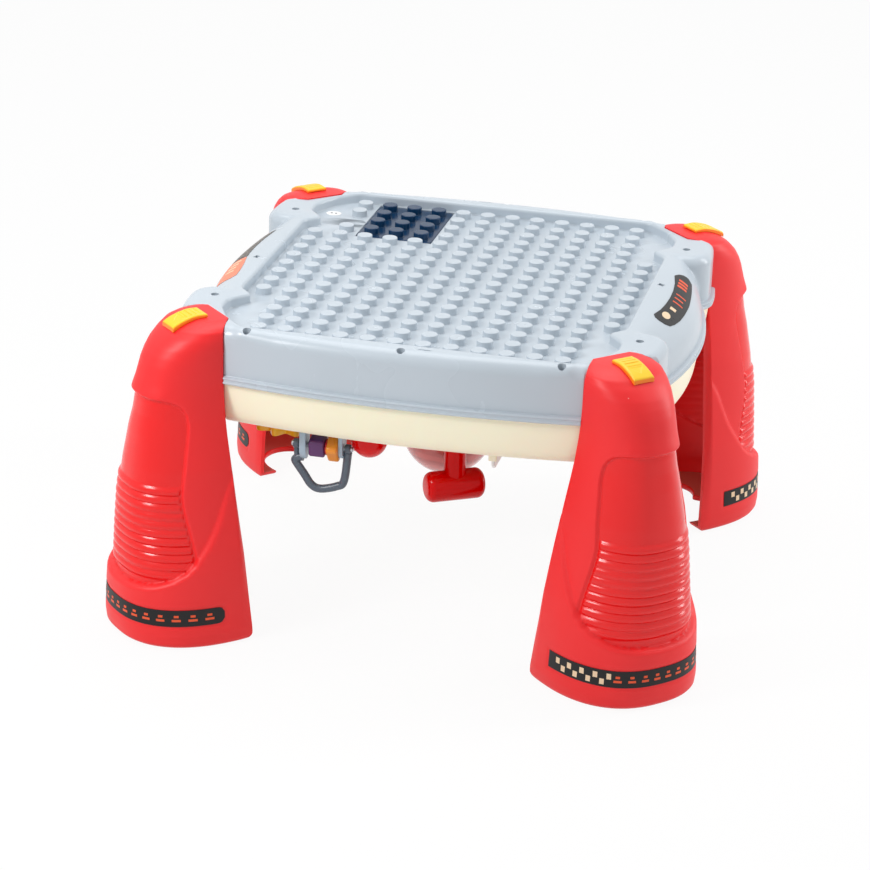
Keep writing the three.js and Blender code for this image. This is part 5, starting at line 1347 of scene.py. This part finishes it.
CRESCENT = [
    (37, 73), (42, 68), (45.5, 61), (47, 53), (43.5, 46), (30, 44), (8, 42), (-8, 42.5), (-20, 43.4),
    (-30, 46), (-36.5, 49.5), (-39.3, 56), (-40, 64), (-38.6, 71), (-35, 74.5), (-25, 70.5),
    (-13, 68.5), (0, 67.6), (12, 67.7), (25, 69.3)]
LEFT_UPPER = [(45, 70), (41, 58), (30, 50), (15, 46), (0, 44), (-8, 44), (-7.5, 56), (-7, 67.5),
              (0, 66), (14, 65), (30, 66)]
LEFT_LOWER = [(-9, 67.5), (-9.6, 56), (-10, 44), (-22, 43), (-36, 42), (-48, 42), (-50, 55),
              (-50.5, 68), (-46, 75), (-34, 74.5), (-22, 72)]
OVAL = (-104.8, 103.2)
FILM_LIFT, INK_LIFT, FOOT_FILM, FOOT_INK = 0.22, 0.30, 0.3, 0.38


def lobe_point(side, y, rise, lift):
    """A point of a lobe's domed skin: place along it, degrees up its dome, and lift off it."""
    full = LOBE_REACH - y * y / (2 * LOBE_BOW)
    angle = math.radians(rise)
    width, height = full - LOBE_INNER, RIM_TOP - LIP_TOP
    nx, nz = math.cos(angle) / width, math.sin(angle) / height
    size = math.hypot(nx, nz)
    x = LOBE_INNER + width * math.cos(angle) + lift * nx / size
    return side * x, y, LIP_TOP + height * math.sin(angle) + lift * nz / size


def lobe_patch(form, side, outline, lift, mark=0, step=1.0):
    """A film on a lobe, inside an outline of places along it and degrees up its dome."""
    outline = np.asarray(outline, dtype=float)
    line = []
    for a, b in zip(outline, np.roll(outline, -1, axis=0)):
        count = max(int(np.hypot(b[0] - a[0], (b[1] - a[1]) * 0.5) / step), 1)
        line += [a + (b - a) * i / count for i in range(count)]
    line = np.array(line)
    work = bmesh.new()
    verts = [work.verts.new((p[0], p[1], 0)) for p in line]
    work.faces.new(verts)
    bmesh.ops.triangulate(work, faces=work.faces[:])
    low, high = line.min(axis=0), line.max(axis=0)
    for axis, gap in ((0, 1.6), (1, 3.0)):
        for cut in np.arange(low[axis] + gap, high[axis], gap):
            normal = (1, 0, 0) if axis == 0 else (0, 1, 0)
            bmesh.ops.bisect_plane(work, geom=work.verts[:] + work.edges[:] + work.faces[:],
                                   plane_co=(cut, cut, 0), plane_no=normal)
    work.verts.index_update()
    flat = [v.co[:2] for v in work.verts]
    faces = [[v.index for v in f.verts] for f in work.faces]
    rim = [(e.verts[0].index, e.verts[1].index) for e in work.edges if e.is_boundary]
    work.free()
    count = len(flat)
    points = [lobe_point(side, y, rise, level) for level in (lift, lift - 0.12) for y, rise in flat]
    faces += [[i + count for i in reversed(f)] for f in faces]
    faces += [[a, b, b + count, a + count] for a, b in rim]
    form.add(points, faces, mark)


def lobe_bar(form, side, y, width, low, high, mark):
    """A printed bar on a lobe."""
    lobe_patch(form, side, [(y, high), (y + width, high), (y + width, low), (y, low)], INK_LIFT, mark)


def leg_patch(form, degrees, turns, heights, lift, mark=0, corner=0.0):
    """A film on a foot between turns and heights, its last end round if a corner is given."""
    around = np.linspace(turns[0], turns[1], max(int(abs(turns[1] - turns[0]) / 1.6), 2))
    rows = 6
    points = []
    for layer in (0.0, -0.3):
        for i in range(rows + 1):
            share = i / rows
            z = np.full(len(around), heights[0] + (heights[1] - heights[0]) * share)
            if corner:
                far = float(spread(np.array(turns[1])))
                end = np.clip((spread(around) - far + corner) / corner, 0, 1)
                pull = corner * (1 - np.sqrt(1 - end ** 2)) * (around > 0)
                middle = (heights[0] + heights[1]) / 2
                z = middle + (z - middle) * (1 - pull / (heights[1] - heights[0]) * 1.6)
            along, across, nd, nw = leg_places(FOOT_SECTIONS, z, 0.0, around)
            off = lift + layer - FILM_SINK
            local = np.column_stack([along + nd * off, across + nw * off])
            points.append(np.column_stack([turned(local, degrees), z]))
    points = np.array(points)
    count = len(around)
    grid = band_faces(rows + 1, count, False)
    half = (rows + 1) * count
    faces = grid + [[i + half for i in reversed(f)] for f in grid]
    rim = [*range(count)] + [i * count + count - 1 for i in range(1, rows + 1)]
    rim += [rows * count + j for j in range(count - 2, -1, -1)]
    rim += [i * count for i in range(rows - 1, 0, -1)]
    faces += [[rim[i], rim[(i + 1) % len(rim)], rim[(i + 1) % len(rim)] + half, rim[i] + half]
              for i in range(len(rim))]
    form.add(points, faces, mark)


class TABLE_OT_labels(bpy.types.Operator):
    """Builds the printed films on the lobes, round the feet and on the plate"""
    bl_idname = "activity_table.labels"
    bl_label = "Labels"

    def execute(self, context):
        colours = context.scene.table_colours
        dark = printed("film_dark", colours.label, 1.0)
        orange = printed("ink_orange", "ink_orange", 2.0)
        sand = printed("ink_sand", "ink_sand", 3.0)
        speckled = printed("film_speckled", "film_speckled", 4.0, "film_specks")
        peach = printed("film_peach", "film_peach", 5.0)
        white = printed("film_white", "film_white", 6.0)
        form = Form()
        lobe_patch(form, 1, CRESCENT, FILM_LIFT)
        for y in (22.0, 27.0, 32.0):
            lobe_bar(form, 1, y, 3, 52, 65.5, 1)
        for y, low in ((-4.0, 49.0), (2.5, 51.0), (9.0, 49.0)):
            lobe_bar(form, 1, y, 1.6, low, 63, 1)
        ring = [(-28 + 4.6 * math.cos(t), 61 + 5.5 * math.sin(t))
                for t in np.linspace(0, TURN, 28, endpoint=False)]
        lobe_patch(form, 1, ring, INK_LIFT, 2)
        lobe_bar(form, 1, -16.5, 4, 54, 62, 2)
        make("right_lobe_label", form, "table", [dark, orange, sand])
        form = Form()
        lobe_patch(form, -1, LEFT_UPPER, FILM_LIFT)
        lobe_patch(form, -1, LEFT_LOWER, FILM_LIFT, 1)
        for y in (-16.0, -22.5, -29.0, -35.5):
            lobe_bar(form, -1, y, 2.6, 52, 64, 2)
        make("left_lobe_label", form, "table", [speckled, peach, sand])
        form = Form()
        x, y = OVAL
        form.slab(circle(0, 0, 1, 40) * (4.9, 4.2) + (x, y), PLATE_TOP + 0.02, PLATE_TOP + 0.2, 0.06)
        for gap in (-1.4, 1.4):
            form.slab(circle(x + gap, y, 0.8, 20), PLATE_TOP + 0.1, PLATE_TOP + 0.26, 0.04, 1)
        make("plate_oval_label", form, "table", [white, dark])
        for corner, degrees in LEG_TURNS.items():
            form = Form()
            low, high = BAND["low"] + 0.5, BAND["high"] - 0.5
            leg_patch(form, degrees, (-BAND["turn"], BAND["turn"]), (low, high), FOOT_FILM, 0, 4.0)
            for i, turn in enumerate(np.arange(-74, -40, 4.2)):
                base = low + (1.4 if i % 2 else 4.9)
                leg_patch(form, degrees, (turn, turn + 2.8), (base, base + 3.4), FOOT_INK, 2)
            for turn in np.arange(-36, 70, 9.5):
                leg_patch(form, degrees, (turn, turn + 5.2), (low + 3.1, low + 4.5), FOOT_INK, 1)
                leg_patch(form, degrees, (turn + 1.2, turn + 4.0), (low + 5.6, low + 7.0), FOOT_INK, 1)
            make(f"{corner}_foot_label", form, "table", [dark, orange, sand])
        return {"FINISHED"}


# Toys on the underside


class TABLE_OT_gears(bpy.types.Operator):
    """Builds the two lobed gears and their caps"""
    bl_idname = "activity_table.gears"
    bl_label = "Gears"

    def execute(self, context):
        turn = math.radians(GEARS["turn"])
        yellow = moulded("gear_yellow", "gear_yellow", 0.3, 0.6)
        blue = moulded("gear_blue", "gear_blue", 0.3, 0.6)
        orange = moulded("gear_cap_orange", "orange", 0.3, 0.6)
        facing = (turn, turn + math.pi)
        for i, ((x, y), colour) in enumerate(zip(gear_places(), (("yellow", yellow), ("blue", blue)))):
            name, finish = colour
            form = Form()
            steps = 216
            angle = np.linspace(0, TURN, steps, endpoint=False)
            phase = math.pi if i else 0
            radius = GEARS["radius"] + GEARS["lobe"] * np.cos(GEARS["teeth"] * angle + phase)
            outline = np.column_stack([x + radius * np.cos(angle + facing[i]),
                                       y + radius * np.sin(angle + facing[i])])
            self.ringed(form, outline, x, y)
            make(f"{name}_lobed_gear", form, f"gear_{name}", [finish], [f"gear_{name}"])
            form = Form()
            cap = [(radius, GEARS["cap_low"] + rise) for radius, rise in GEAR_CAP]
            form.lathe(cap, (x, y, 0), steps=40)
            form.lathe(drum(*GEARS["plug"], 0.2), (x, y, 0), steps=16)
            make(f"gear_button_{i + 1}", form, "table", [orange],
                 [f"gear_cap_{i + 1}"])
        return {"FINISHED"}

    def ringed(self, form, outline, x, y):
        """A gear body with a bore, rounded lobes and a sunk face on both sides."""
        normal = outward(outline)
        bore = circle(x, y, GEARS["bore"], len(outline))
        shift = int(round(math.atan2(outline[0][1] - y, outline[0][0] - x) / TURN * len(outline)))
        bore = np.roll(bore, -shift, axis=0)
        out = (bore - (x, y)) / GEARS["bore"]
        face = [(bore, 0.3), (bore + out * 0.276, 0), (bore + out * 3.6, 0), (bore + out * 4.4, 1.0)]
        rounds = ((3.4, 1.0), (2.6, 0.2), (1.2, 0), (0.35, 0.35), (0, 1.2))
        face += [(outline - normal * inset, drop) for inset, drop in rounds]
        levels = [(bore, 0)] + [(flat, drop - GEARS["half"]) for flat, drop in face]
        levels += [(flat, GEARS["half"] - drop) for flat, drop in face[::-1]]
        rings = []
        for flat, rise in levels:
            rings.append(np.column_stack([flat, np.full(len(flat), GEARS["middle"] + rise)]))
        rings = np.array(rings)
        rows, columns = rings.shape[:2]
        faces = band_faces(rows, columns, True)
        last = (rows - 1) * columns
        faces += [(last + i, last + (i + 1) % columns, (i + 1) % columns, i) for i in range(columns)]
        form.add(rings, faces)


def chamfered(half, cut):
    low = half - cut
    return [(half, -low), (half, low), (low, half), (-low, half), (-half, low), (-half, -low),
            (-low, -half), (low, -half)]


class TABLE_OT_beads(bpy.types.Operator):
    """Builds the bracket, axle, beads and hanging loop"""
    bl_idname = "activity_table.beads"
    bl_label = "Beads and loop"

    def execute(self, context):
        colours = context.scene.table_colours
        y, z, left, right = AXLE["y"], AXLE["z"], AXLE["left"], AXLE["right"]
        pale = moulded("bracket_blue_grey", "bracket", 0.3, 0.6)
        form = Form()
        for x, wide, reach in ((left + 0.4, 1.5, 1.8), (right - 2.5, 1.0, 1.2)):
            half, height = BRACKET["half"], BRACKET["height"]
            turn = np.linspace(math.pi, TURN, 13)
            tip = [(half * math.cos(t), half * math.sin(t) * reach) for t in turn]
            lug = densified(np.array([*tip, (half, height), (-half, height)]), 1.2)
            rings = []
            for dx, k in ((0, 0.94), (0.15, 0.985), (0.4, 1), (2.1, 1), (2.35, 0.985), (2.5, 0.94)):
                rings.append([(x + dx * wide, y + a * k, z + b * (k if b < 0 else 1)) for a, b in lug])
            form.rings(rings)
        wide, drop = BRACKET["foot"], BRACKET["foot_drop"]
        form.box((left, y - wide, PANEL_BOTTOM - drop), (right, y + wide, PANEL_BOTTOM - 0.3), 0.5)
        make("bead_cradle", form, "table", [pale], ["bead_bracket"])
        form = Form().lathe(drum(AXLE["rod"], left - AXLE["past"], right + AXLE["past"], 0.4),
                            (0, y, z), "x", 24)
        make("bead_rod", form, "table", [metal("axle_steel", "steel")], ["bead_axle"])
        for name, start, width, degrees, half, colour in BEADS:
            outline = densified(np.array(chamfered(half, 1.5), dtype=float), 0.9)
            outline = spun(outline, math.radians(degrees))
            rings = []
            for dx, inset in ((0, 1.1), (0.25, 0.45), (0.7, 0.1), (1.1, 0), (width - 1.1, 0),
                              (width - 0.7, 0.1), (width - 0.25, 0.45), (width, 1.1)):
                flat = outline - outward(outline) * inset
                rings.append([(start + dx, y + a, z + b) for a, b in flat])
            form = Form().rings(rings)
            finish = moulded(f"bead_{name}", colour, 0.28, 0.6)
            make(f"{name}_cube_bead", form, f"bead_{name}", [finish], [f"bead_{name}"])
        form = Form().lathe(drum(*RED_DISC, 0.4), (0, y, z), "x", 40)
        make("red_disc_bead", form, "bead_red", [moulded("bead_red", "bead_red", 0.28)],
             ["bead_red"])
        self.loop(colours, y, z, left, right)
        return {"FINISHED"}

    def loop(self, colours, y, z, left, right):
        start, end = left - 0.3 - 2.0, right + 0.3 + 2.0
        nodes = np.array([(start + (end - start) * a, y, z - LOOP["drop"] * d) for a, d in LOOP_ROUTE])
        path = []
        padded = np.concatenate([[2 * nodes[0] - nodes[1]], nodes, [2 * nodes[-1] - nodes[-2]]])
        for i in range(len(nodes) - 1):
            p0, p1, p2, p3 = padded[i:i + 4]
            for t in np.linspace(0, 1, 12, endpoint=False):
                path.append(0.5 * ((2 * p1) + (p2 - p0) * t + (2 * p0 - 5 * p1 + 4 * p2 - p3) * t ** 2
                                   + (3 * p1 - p0 - 3 * p2 + p3) * t ** 3))
        path.append(nodes[-1])
        form = Form().tube(path, LOOP["rod"], 20)
        form.tube([(start, y, z - drop) for drop in np.linspace(0, LOOP["tail"], 9)], LOOP["tail_rod"],
                  16)
        for middle in (start, end):
            x = middle - LOOP["eye_width"] / 2
            form.lathe(drum(LOOP["eye"], x, x + LOOP["eye_width"], 0.6), (0, y, z), "x", 32)
        finish = moulded("loop_slate", colours.loop, 0.3, 0.6)
        make("slate_loop", form, "hanging_loop", [finish], ["hanging_loop"])


class TABLE_OT_push_button(bpy.types.Operator):
    """Builds the domed push button"""
    bl_idname = "activity_table.push_button"
    bl_label = "Push button"

    def execute(self, context):
        red = glossy("button_red", "button_red")
        r, low = RED_BUTTON["radius"], PANEL_BOTTOM - RED_BUTTON["reach"]
        arc = [(r * math.sin(a), low + r * (1 - math.cos(a))) for a in np.linspace(0, math.pi / 2, 18)]
        form = Form().lathe([*arc, (r, FLANGE_LEVELS[1]), (0, FLANGE_LEVELS[1])],
                            (RED_BUTTON["x"], RED_BUTTON["y"], 0), steps=56)
        form.lathe(drum(RED_BUTTON["flange"], *FLANGE_LEVELS, 0.3),
                   (RED_BUTTON["x"], RED_BUTTON["y"], 0), steps=48)
        make("red_dome_cap", form, "dome_button", [red], ["dome_button"])
        return {"FINISHED"}


class TABLE_OT_handle(bpy.types.Operator):
    """Builds the T-shaped turning handle"""
    bl_idname = "activity_table.handle"
    bl_label = "Turning handle"

    def execute(self, context):
        finish = glossy("handle_red", "handle_red", 0.12)
        finish.constant(Specular_IOR_Level=0.16)
        half, r, edge = HANDLE["length"] / 2, HANDLE["radius"], HANDLE["edge"]
        arc = np.linspace(0, math.pi / 2, 8)
        right = [(r - edge * (1 - math.cos(a)), half - edge * (1 - math.sin(a))) for a in arc]
        left = [(x, -h) for x, h in right[::-1]]
        form = Form().lathe([(0, -half), *left, *right, (0, half)], (0, 0, 0), "x", 56)
        bar, z = form.points[-1], PANEL_BOTTOM - HANDLE["drop"]
        x, y = spun(bar[:, :2], math.radians(HANDLE["angle"])).T
        form.points[-1] = np.column_stack([x + HANDLE["x"], y + HANDLE["y"], bar[:, 2] + z])
        stem = HANDLE["stem"]
        profile = [(0, z), (stem, z), (stem, z + r - 1.6), (stem, z + r + 0.6)]
        profile += [(stem + bulge, height) for bulge, height in HANDLE_COLLAR]
        profile += [(stem, PANEL_TOP), (stem - 0.3, HANDLE["end"]), (0, HANDLE["end"])]
        form.lathe(profile, (HANDLE["x"], HANDLE["y"], 0), steps=48)
        form.lathe(drum(*HANDLE["pin"], 0.3), (HANDLE["x"], HANDLE["y"], 0), steps=24)
        make("t_handle", form, "turning_handle", [finish], ["turning_handle"])
        return {"FINISHED"}


class TABLE_OT_light_dome(bpy.types.Operator):
    """Builds the tinted light dome"""
    bl_idname = "activity_table.light_dome"
    bl_label = "Light dome"

    def execute(self, context):
        centre, top = PANEL_BOTTOM - DOME["sink"], PANEL_BOTTOM - 0.3
        profile = []
        for radius, way in ((DOME["radius"], 1), (DOME["radius"] - DOME["wall"], -1)):
            end = math.asin((top - centre) / radius)
            line = [(radius * math.cos(a), centre + radius * math.sin(a))
                    for a in np.linspace(-math.pi / 2, end, 26)]
            profile += line[::way]
        profile[0] = (0, centre - DOME["radius"])
        profile[-1] = (0, centre - DOME["radius"] + DOME["wall"])
        form = Form().lathe(profile, (DOME["x"], DOME["y"], 0), steps=72)
        make("tinted_dome", form, "table", [clear_red("dome_clear_red")],
             ["light_dome"], 45.0)
        return {"FINISHED"}


class TABLE_OT_flap(bpy.types.Operator):
    """Builds the white flap that swings on two pins"""
    bl_idname = "activity_table.flap"
    bl_label = "Flap"

    def execute(self, context):
        white = moulded("flap_white", "flap_white", 0.3, 0.6, 0.02)
        (front, back), x, z = flap_ends(), FLAP["x"], FLAP["z"]
        form = Form()
        outline = panel_slot((front, z - FLAP["length"]), (back, z + 1), FLAP["corner"])[0]
        flat = np.array([(a, b) for a, b, _ in outline])
        rings = []
        for dx, inset in ((-1, 0.5), (-0.85, 0.15), (-0.5, 0), (0.5, 0), (0.85, 0.15), (1, 0.5)):
            line = flat - outward(flat) * inset
            rings.append([(x + dx, a, b) for a, b in line])
        form.rings(rings)
        form.box((x + 0.9, back - 11.5, z - FLAP["length"] + 1.6), (x + 1.15, back - 8.5, z - 2.6), 0.1,
                 1)
        pin_end = FLAP["lug_width"] + 0.3
        form.lathe(drum(FLAP["barrel"], front, back, 0.4), (x, 0, z), "y", 28)
        form.lathe(drum(FLAP["pin"], front - pin_end, back + pin_end, 0.15), (x, 0, z), "y", 16)
        blue = printed("ink_blue", "ink_blue", 9.0)
        make("white_flap", form, "hanging_flap", [white, blue], ["hanging_flap"])
        return {"FINISHED"}


class TABLE_OT_keys(bpy.types.Operator):
    """Builds the piano keys, mode buttons and switch knob"""
    bl_idname = "activity_table.keys"
    bl_label = "Keys and buttons"

    def execute(self, context):
        white = moulded("key_white", "key_white", 0.26, 0.5, 0.02)
        for i in range(KEYS["count"]):
            x, half = key_x(i), KEYS["width"] / 2
            low, top = PANEL_BOTTOM - KEYS["drop"], PANEL_BOTTOM + KEYS["rise"]
            front, back, arm = KEYS["front"], KEYS["back"], KEYS["arm"]
            form = Form().box((x - half, front, low), (x + half, back, top), 1.1)
            form.box((x - half, front - 3, FLANGE_LEVELS[0]), (x + half, front + 1, FLANGE_LEVELS[1]),
                     0.3)
            form.box((x - arm, back - 12, top - 1), (x + arm, back, KEYS["arm_top"]), 0.3)
            form.box((x - arm, back - 1, 131.3), (x + arm, KEYS["pivot_y"] + 2.7, KEYS["arm_top"]), 0.6)
            make(f"key_plank_{i + 1}", form, f"piano_key_{i + 1}", [white],
                 [f"piano_key_{i + 1}"])
        orange = moulded("mode_orange", "orange", 0.26, 0.5)
        for i in range(KNOBS["count"]):
            y, low = (i - 1) * KNOBS["spread"], PANEL_BOTTOM - KNOBS["reach"]
            face = [(radius, low + rise) for radius, rise in KNOB_FACE]
            face += [(KNOBS["radius"], FLANGE_LEVELS[1]), (0, FLANGE_LEVELS[1])]
            form = Form().lathe(face, (KNOBS["x"], y, 0), steps=44)
            form.lathe(drum(KNOBS["flange"], *FLANGE_LEVELS, 0.3), (KNOBS["x"], y, 0), steps=44)
            make(f"round_button_{i + 1}", form, f"mode_button_{i + 1}", [orange],
                 [f"mode_button_{i + 1}"])
        navy = moulded("switch_navy", context.scene.table_colours.door, 0.3, 0.6)
        middle, x, low = -SWITCH["travel"] / 2, SWITCH["x"], PANEL_BOTTOM - SWITCH["reach"]
        wide, long, top = SWITCH["half_x"], SWITCH["half_y"], FLANGE_LEVELS[1]
        form = Form().box((x - wide, middle - long, low), (x + wide, middle + long, top), 0.7)
        for dy in (-3, -1, 1, 3):
            form.box((x - 2.4, middle + dy - 0.35, low), (x + 2.4, middle + dy + 0.35, low + 1), 0.15)
        wide, long = SWITCH["plate_x"], SWITCH["plate_y"]
        form.box((x - wide, middle - long, FLANGE_LEVELS[0]), (x + wide, middle + long, top), 0.3)
        make("slide_knob", form, "switch_knob", [navy], ["switch_knob"])
        return {"FINISHED"}


class TABLE_OT_inner_parts(bpy.types.Operator):
    """Gives the carried-over inner pieces their finishes"""
    bl_idname = "activity_table.inner_parts"
    bl_label = "Inner parts"

    def execute(self, context):
        green = circuit_green("board_green", "board")
        steel = metal("spring_steel", "steel")
        screw = metal("screw_steel", "screw", 0.35)
        brass = metal("contact_brass", "brass", 0.25)
        jacket = printed("cell_jacket", "cell", 8.0)
        grey = moulded("tray_grey", context.scene.table_colours.shell, 0.45)
        cream = moulded("bridge_cream", context.scene.table_colours.cream, 0.45)
        rubber = moulded("rubber_grey", "rubber", 0.75, 1.6)
        black = moulded("body_black", "black", 0.55, 1.2)
        washer = moulded("washer_white", "key_white", 0.4)
        finishes = {"battery_tray": grey, "dome_button_bridge": cream,
                    "handle_washer": washer, "key_rubber": rubber, "key_rod": steel,
                    "dome_button_spring": steel, "contact_strip_front": brass,
                    "contact_strip_back": brass, "lamp_board": green, "key_board": green,
                    "circuit_board": green, "switch_body": black, "loudspeaker": black}
        finishes.update({f"battery_cell_{i}": jacket for i in (1, 2, 3)})
        finishes.update({f"shell_screw_{i}": screw for i in range(1, 7)})
        finishes.update({f"latch_spring_{corner}": steel for corner in LEG_TURNS})
        for node, finish in finishes.items():
            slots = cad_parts[node].material_slots
            if not slots:
                raise RuntimeError(f"{node} has no material slot")
            for slot in slots:
                slot.material = finish.material
        return {"FINISHED"}


class TABLE_OT_studio(bpy.types.Operator):
    """Builds the pale floor, the lamps and the camera"""
    bl_idname = "activity_table.studio"
    bl_label = "Studio"

    def execute(self, context):
        scene, settings = context.scene, context.scene.studio_settings
        scene.view_settings.view_transform = "Standard"
        self.floor(settings)
        self.world(scene, settings)
        for setting, (name, place, target, size) in LAMPS.items():
            self.lamp(name, place, target, size, getattr(settings, setting))
        self.camera(scene)
        return {"FINISHED"}

    def floor(self, settings):
        form = Form()
        steps, radius = 96, settings.floor_radius / MM
        rings = [[(r * math.cos(t), r * math.sin(t), 0)
                  for t in np.linspace(0, TURN, steps, endpoint=False)]
                 for r in (radius * 0.02, radius * 0.1, radius * 0.4, radius)]
        faces = band_faces(4, steps, True) + [list(range(steps))]
        form.add(rings, faces)
        floor = bpy.data.objects.new("floor", form.mesh("floor"))
        bpy.context.scene.collection.objects.link(floor)
        floor.location.z = -0.0002
        finish = Finish("floor_white", "floor")
        mottle = finish.noise(3.0, 2.0)
        finish.surface(finish.mix(mottle, finish.tint(0.985), finish.tint(1.0)),
                       0.9 + mottle * 0.05, mottle, 0.02)
        glow = finish.node("ShaderNodeEmission", None, {"Color": WHITE, "Strength": 1.0})
        lit = Field(finish, finish.shader.outputs[0])
        finish.blend(finish.seen_share() * FLOOR_GLOW, lit, glow, finish.tree.nodes["Material Output"])
        floor.data.materials.append(finish.material)

    def world(self, scene, settings):
        world = bpy.data.worlds.new("even_room")
        world.use_nodes = True
        scene.world = world
        world.node_tree.nodes.clear()
        tree = NodeTree(world.node_tree)
        room, backdrop = (tree.node("ShaderNodeBackground", None, {"Color": WHITE, "Strength": strength})
                          for strength in (settings.sky, 1.0))
        output = tree.node("ShaderNodeOutputWorld", output=None)
        tree.blend(tree.seen_share(), room, backdrop, output)

    def lamp(self, name, place, target, size, power):
        data = bpy.data.lights.new(name, "AREA")
        data.shape, data.size, data.size_y, data.energy = "RECTANGLE", size[0], size[1], power
        lamp = bpy.data.objects.new(name, data)
        bpy.context.scene.collection.objects.link(lamp)
        lamp.location = place
        lamp.rotation_mode = "QUATERNION"
        lamp.rotation_quaternion = (Vector(target) - Vector(place)).to_track_quat("-Z", "Y")

    def camera(self, scene):
        data = bpy.data.cameras.new("studio_camera")
        data.sensor_fit, data.sensor_width = "HORIZONTAL", CAMERA["sensor"]
        data.lens = CAMERA["lens"]
        data.clip_start, data.clip_end = 0.05, 60.0
        camera = bpy.data.objects.new("studio_camera", data)
        scene.collection.objects.link(camera)
        forward, right = Vector(CAMERA["ahead"]).normalized(), Vector(CAMERA["right"])
        right = (right - forward * right.dot(forward)).normalized()
        up = right.cross(forward)
        turn = Matrix((right, up, -forward)).transposed().to_4x4()
        camera.matrix_world = Matrix.Translation(CAMERA["place"]) @ turn
        scene.camera = camera


class TABLE_PT_panel(bpy.types.Panel):
    """Lists the steps that build the activity table"""
    bl_label = "Activity Table"
    bl_idname = "TABLE_PT_panel"
    bl_space_type = "VIEW_3D"
    bl_region_type = "UI"
    bl_category = "Activity Table"

    def draw(self, context):
        for step in STEPS:
            self.layout.operator(step.bl_idname)
        for group in (context.scene.table_sizes, context.scene.table_colours,
                      context.scene.studio_settings):
            box = self.layout.box()
            for name in group.bl_rna.properties.keys():
                if name not in ("rna_type", "name"):
                    box.prop(group, name)


STEPS = (
    TABLE_OT_studio, TABLE_OT_stud_deck, TABLE_OT_battery_door, TABLE_OT_lower_shell,
    TABLE_OT_legs, TABLE_OT_latches, TABLE_OT_labels, TABLE_OT_gears, TABLE_OT_beads,
    TABLE_OT_push_button, TABLE_OT_handle, TABLE_OT_light_dome, TABLE_OT_flap,
    TABLE_OT_keys, TABLE_OT_inner_parts)
GROUPS = (TableSizes, TableColours, StudioSettings)


def register():
    for item in (*GROUPS, *STEPS, TABLE_PT_panel):
        bpy.utils.register_class(item)
    bpy.types.Scene.table_sizes = PointerProperty(type=TableSizes)
    bpy.types.Scene.table_colours = PointerProperty(type=TableColours)
    bpy.types.Scene.studio_settings = PointerProperty(type=StudioSettings)


def unregister():
    del bpy.types.Scene.table_sizes, bpy.types.Scene.table_colours, bpy.types.Scene.studio_settings
    for item in reversed((*GROUPS, *STEPS, TABLE_PT_panel)):
        bpy.utils.unregister_class(item)


def main():
    register()
    for step in STEPS:
        group, name = step.bl_idname.split(".")
        getattr(getattr(bpy.ops, group), name)()


if __name__ == "__main__":
    main()
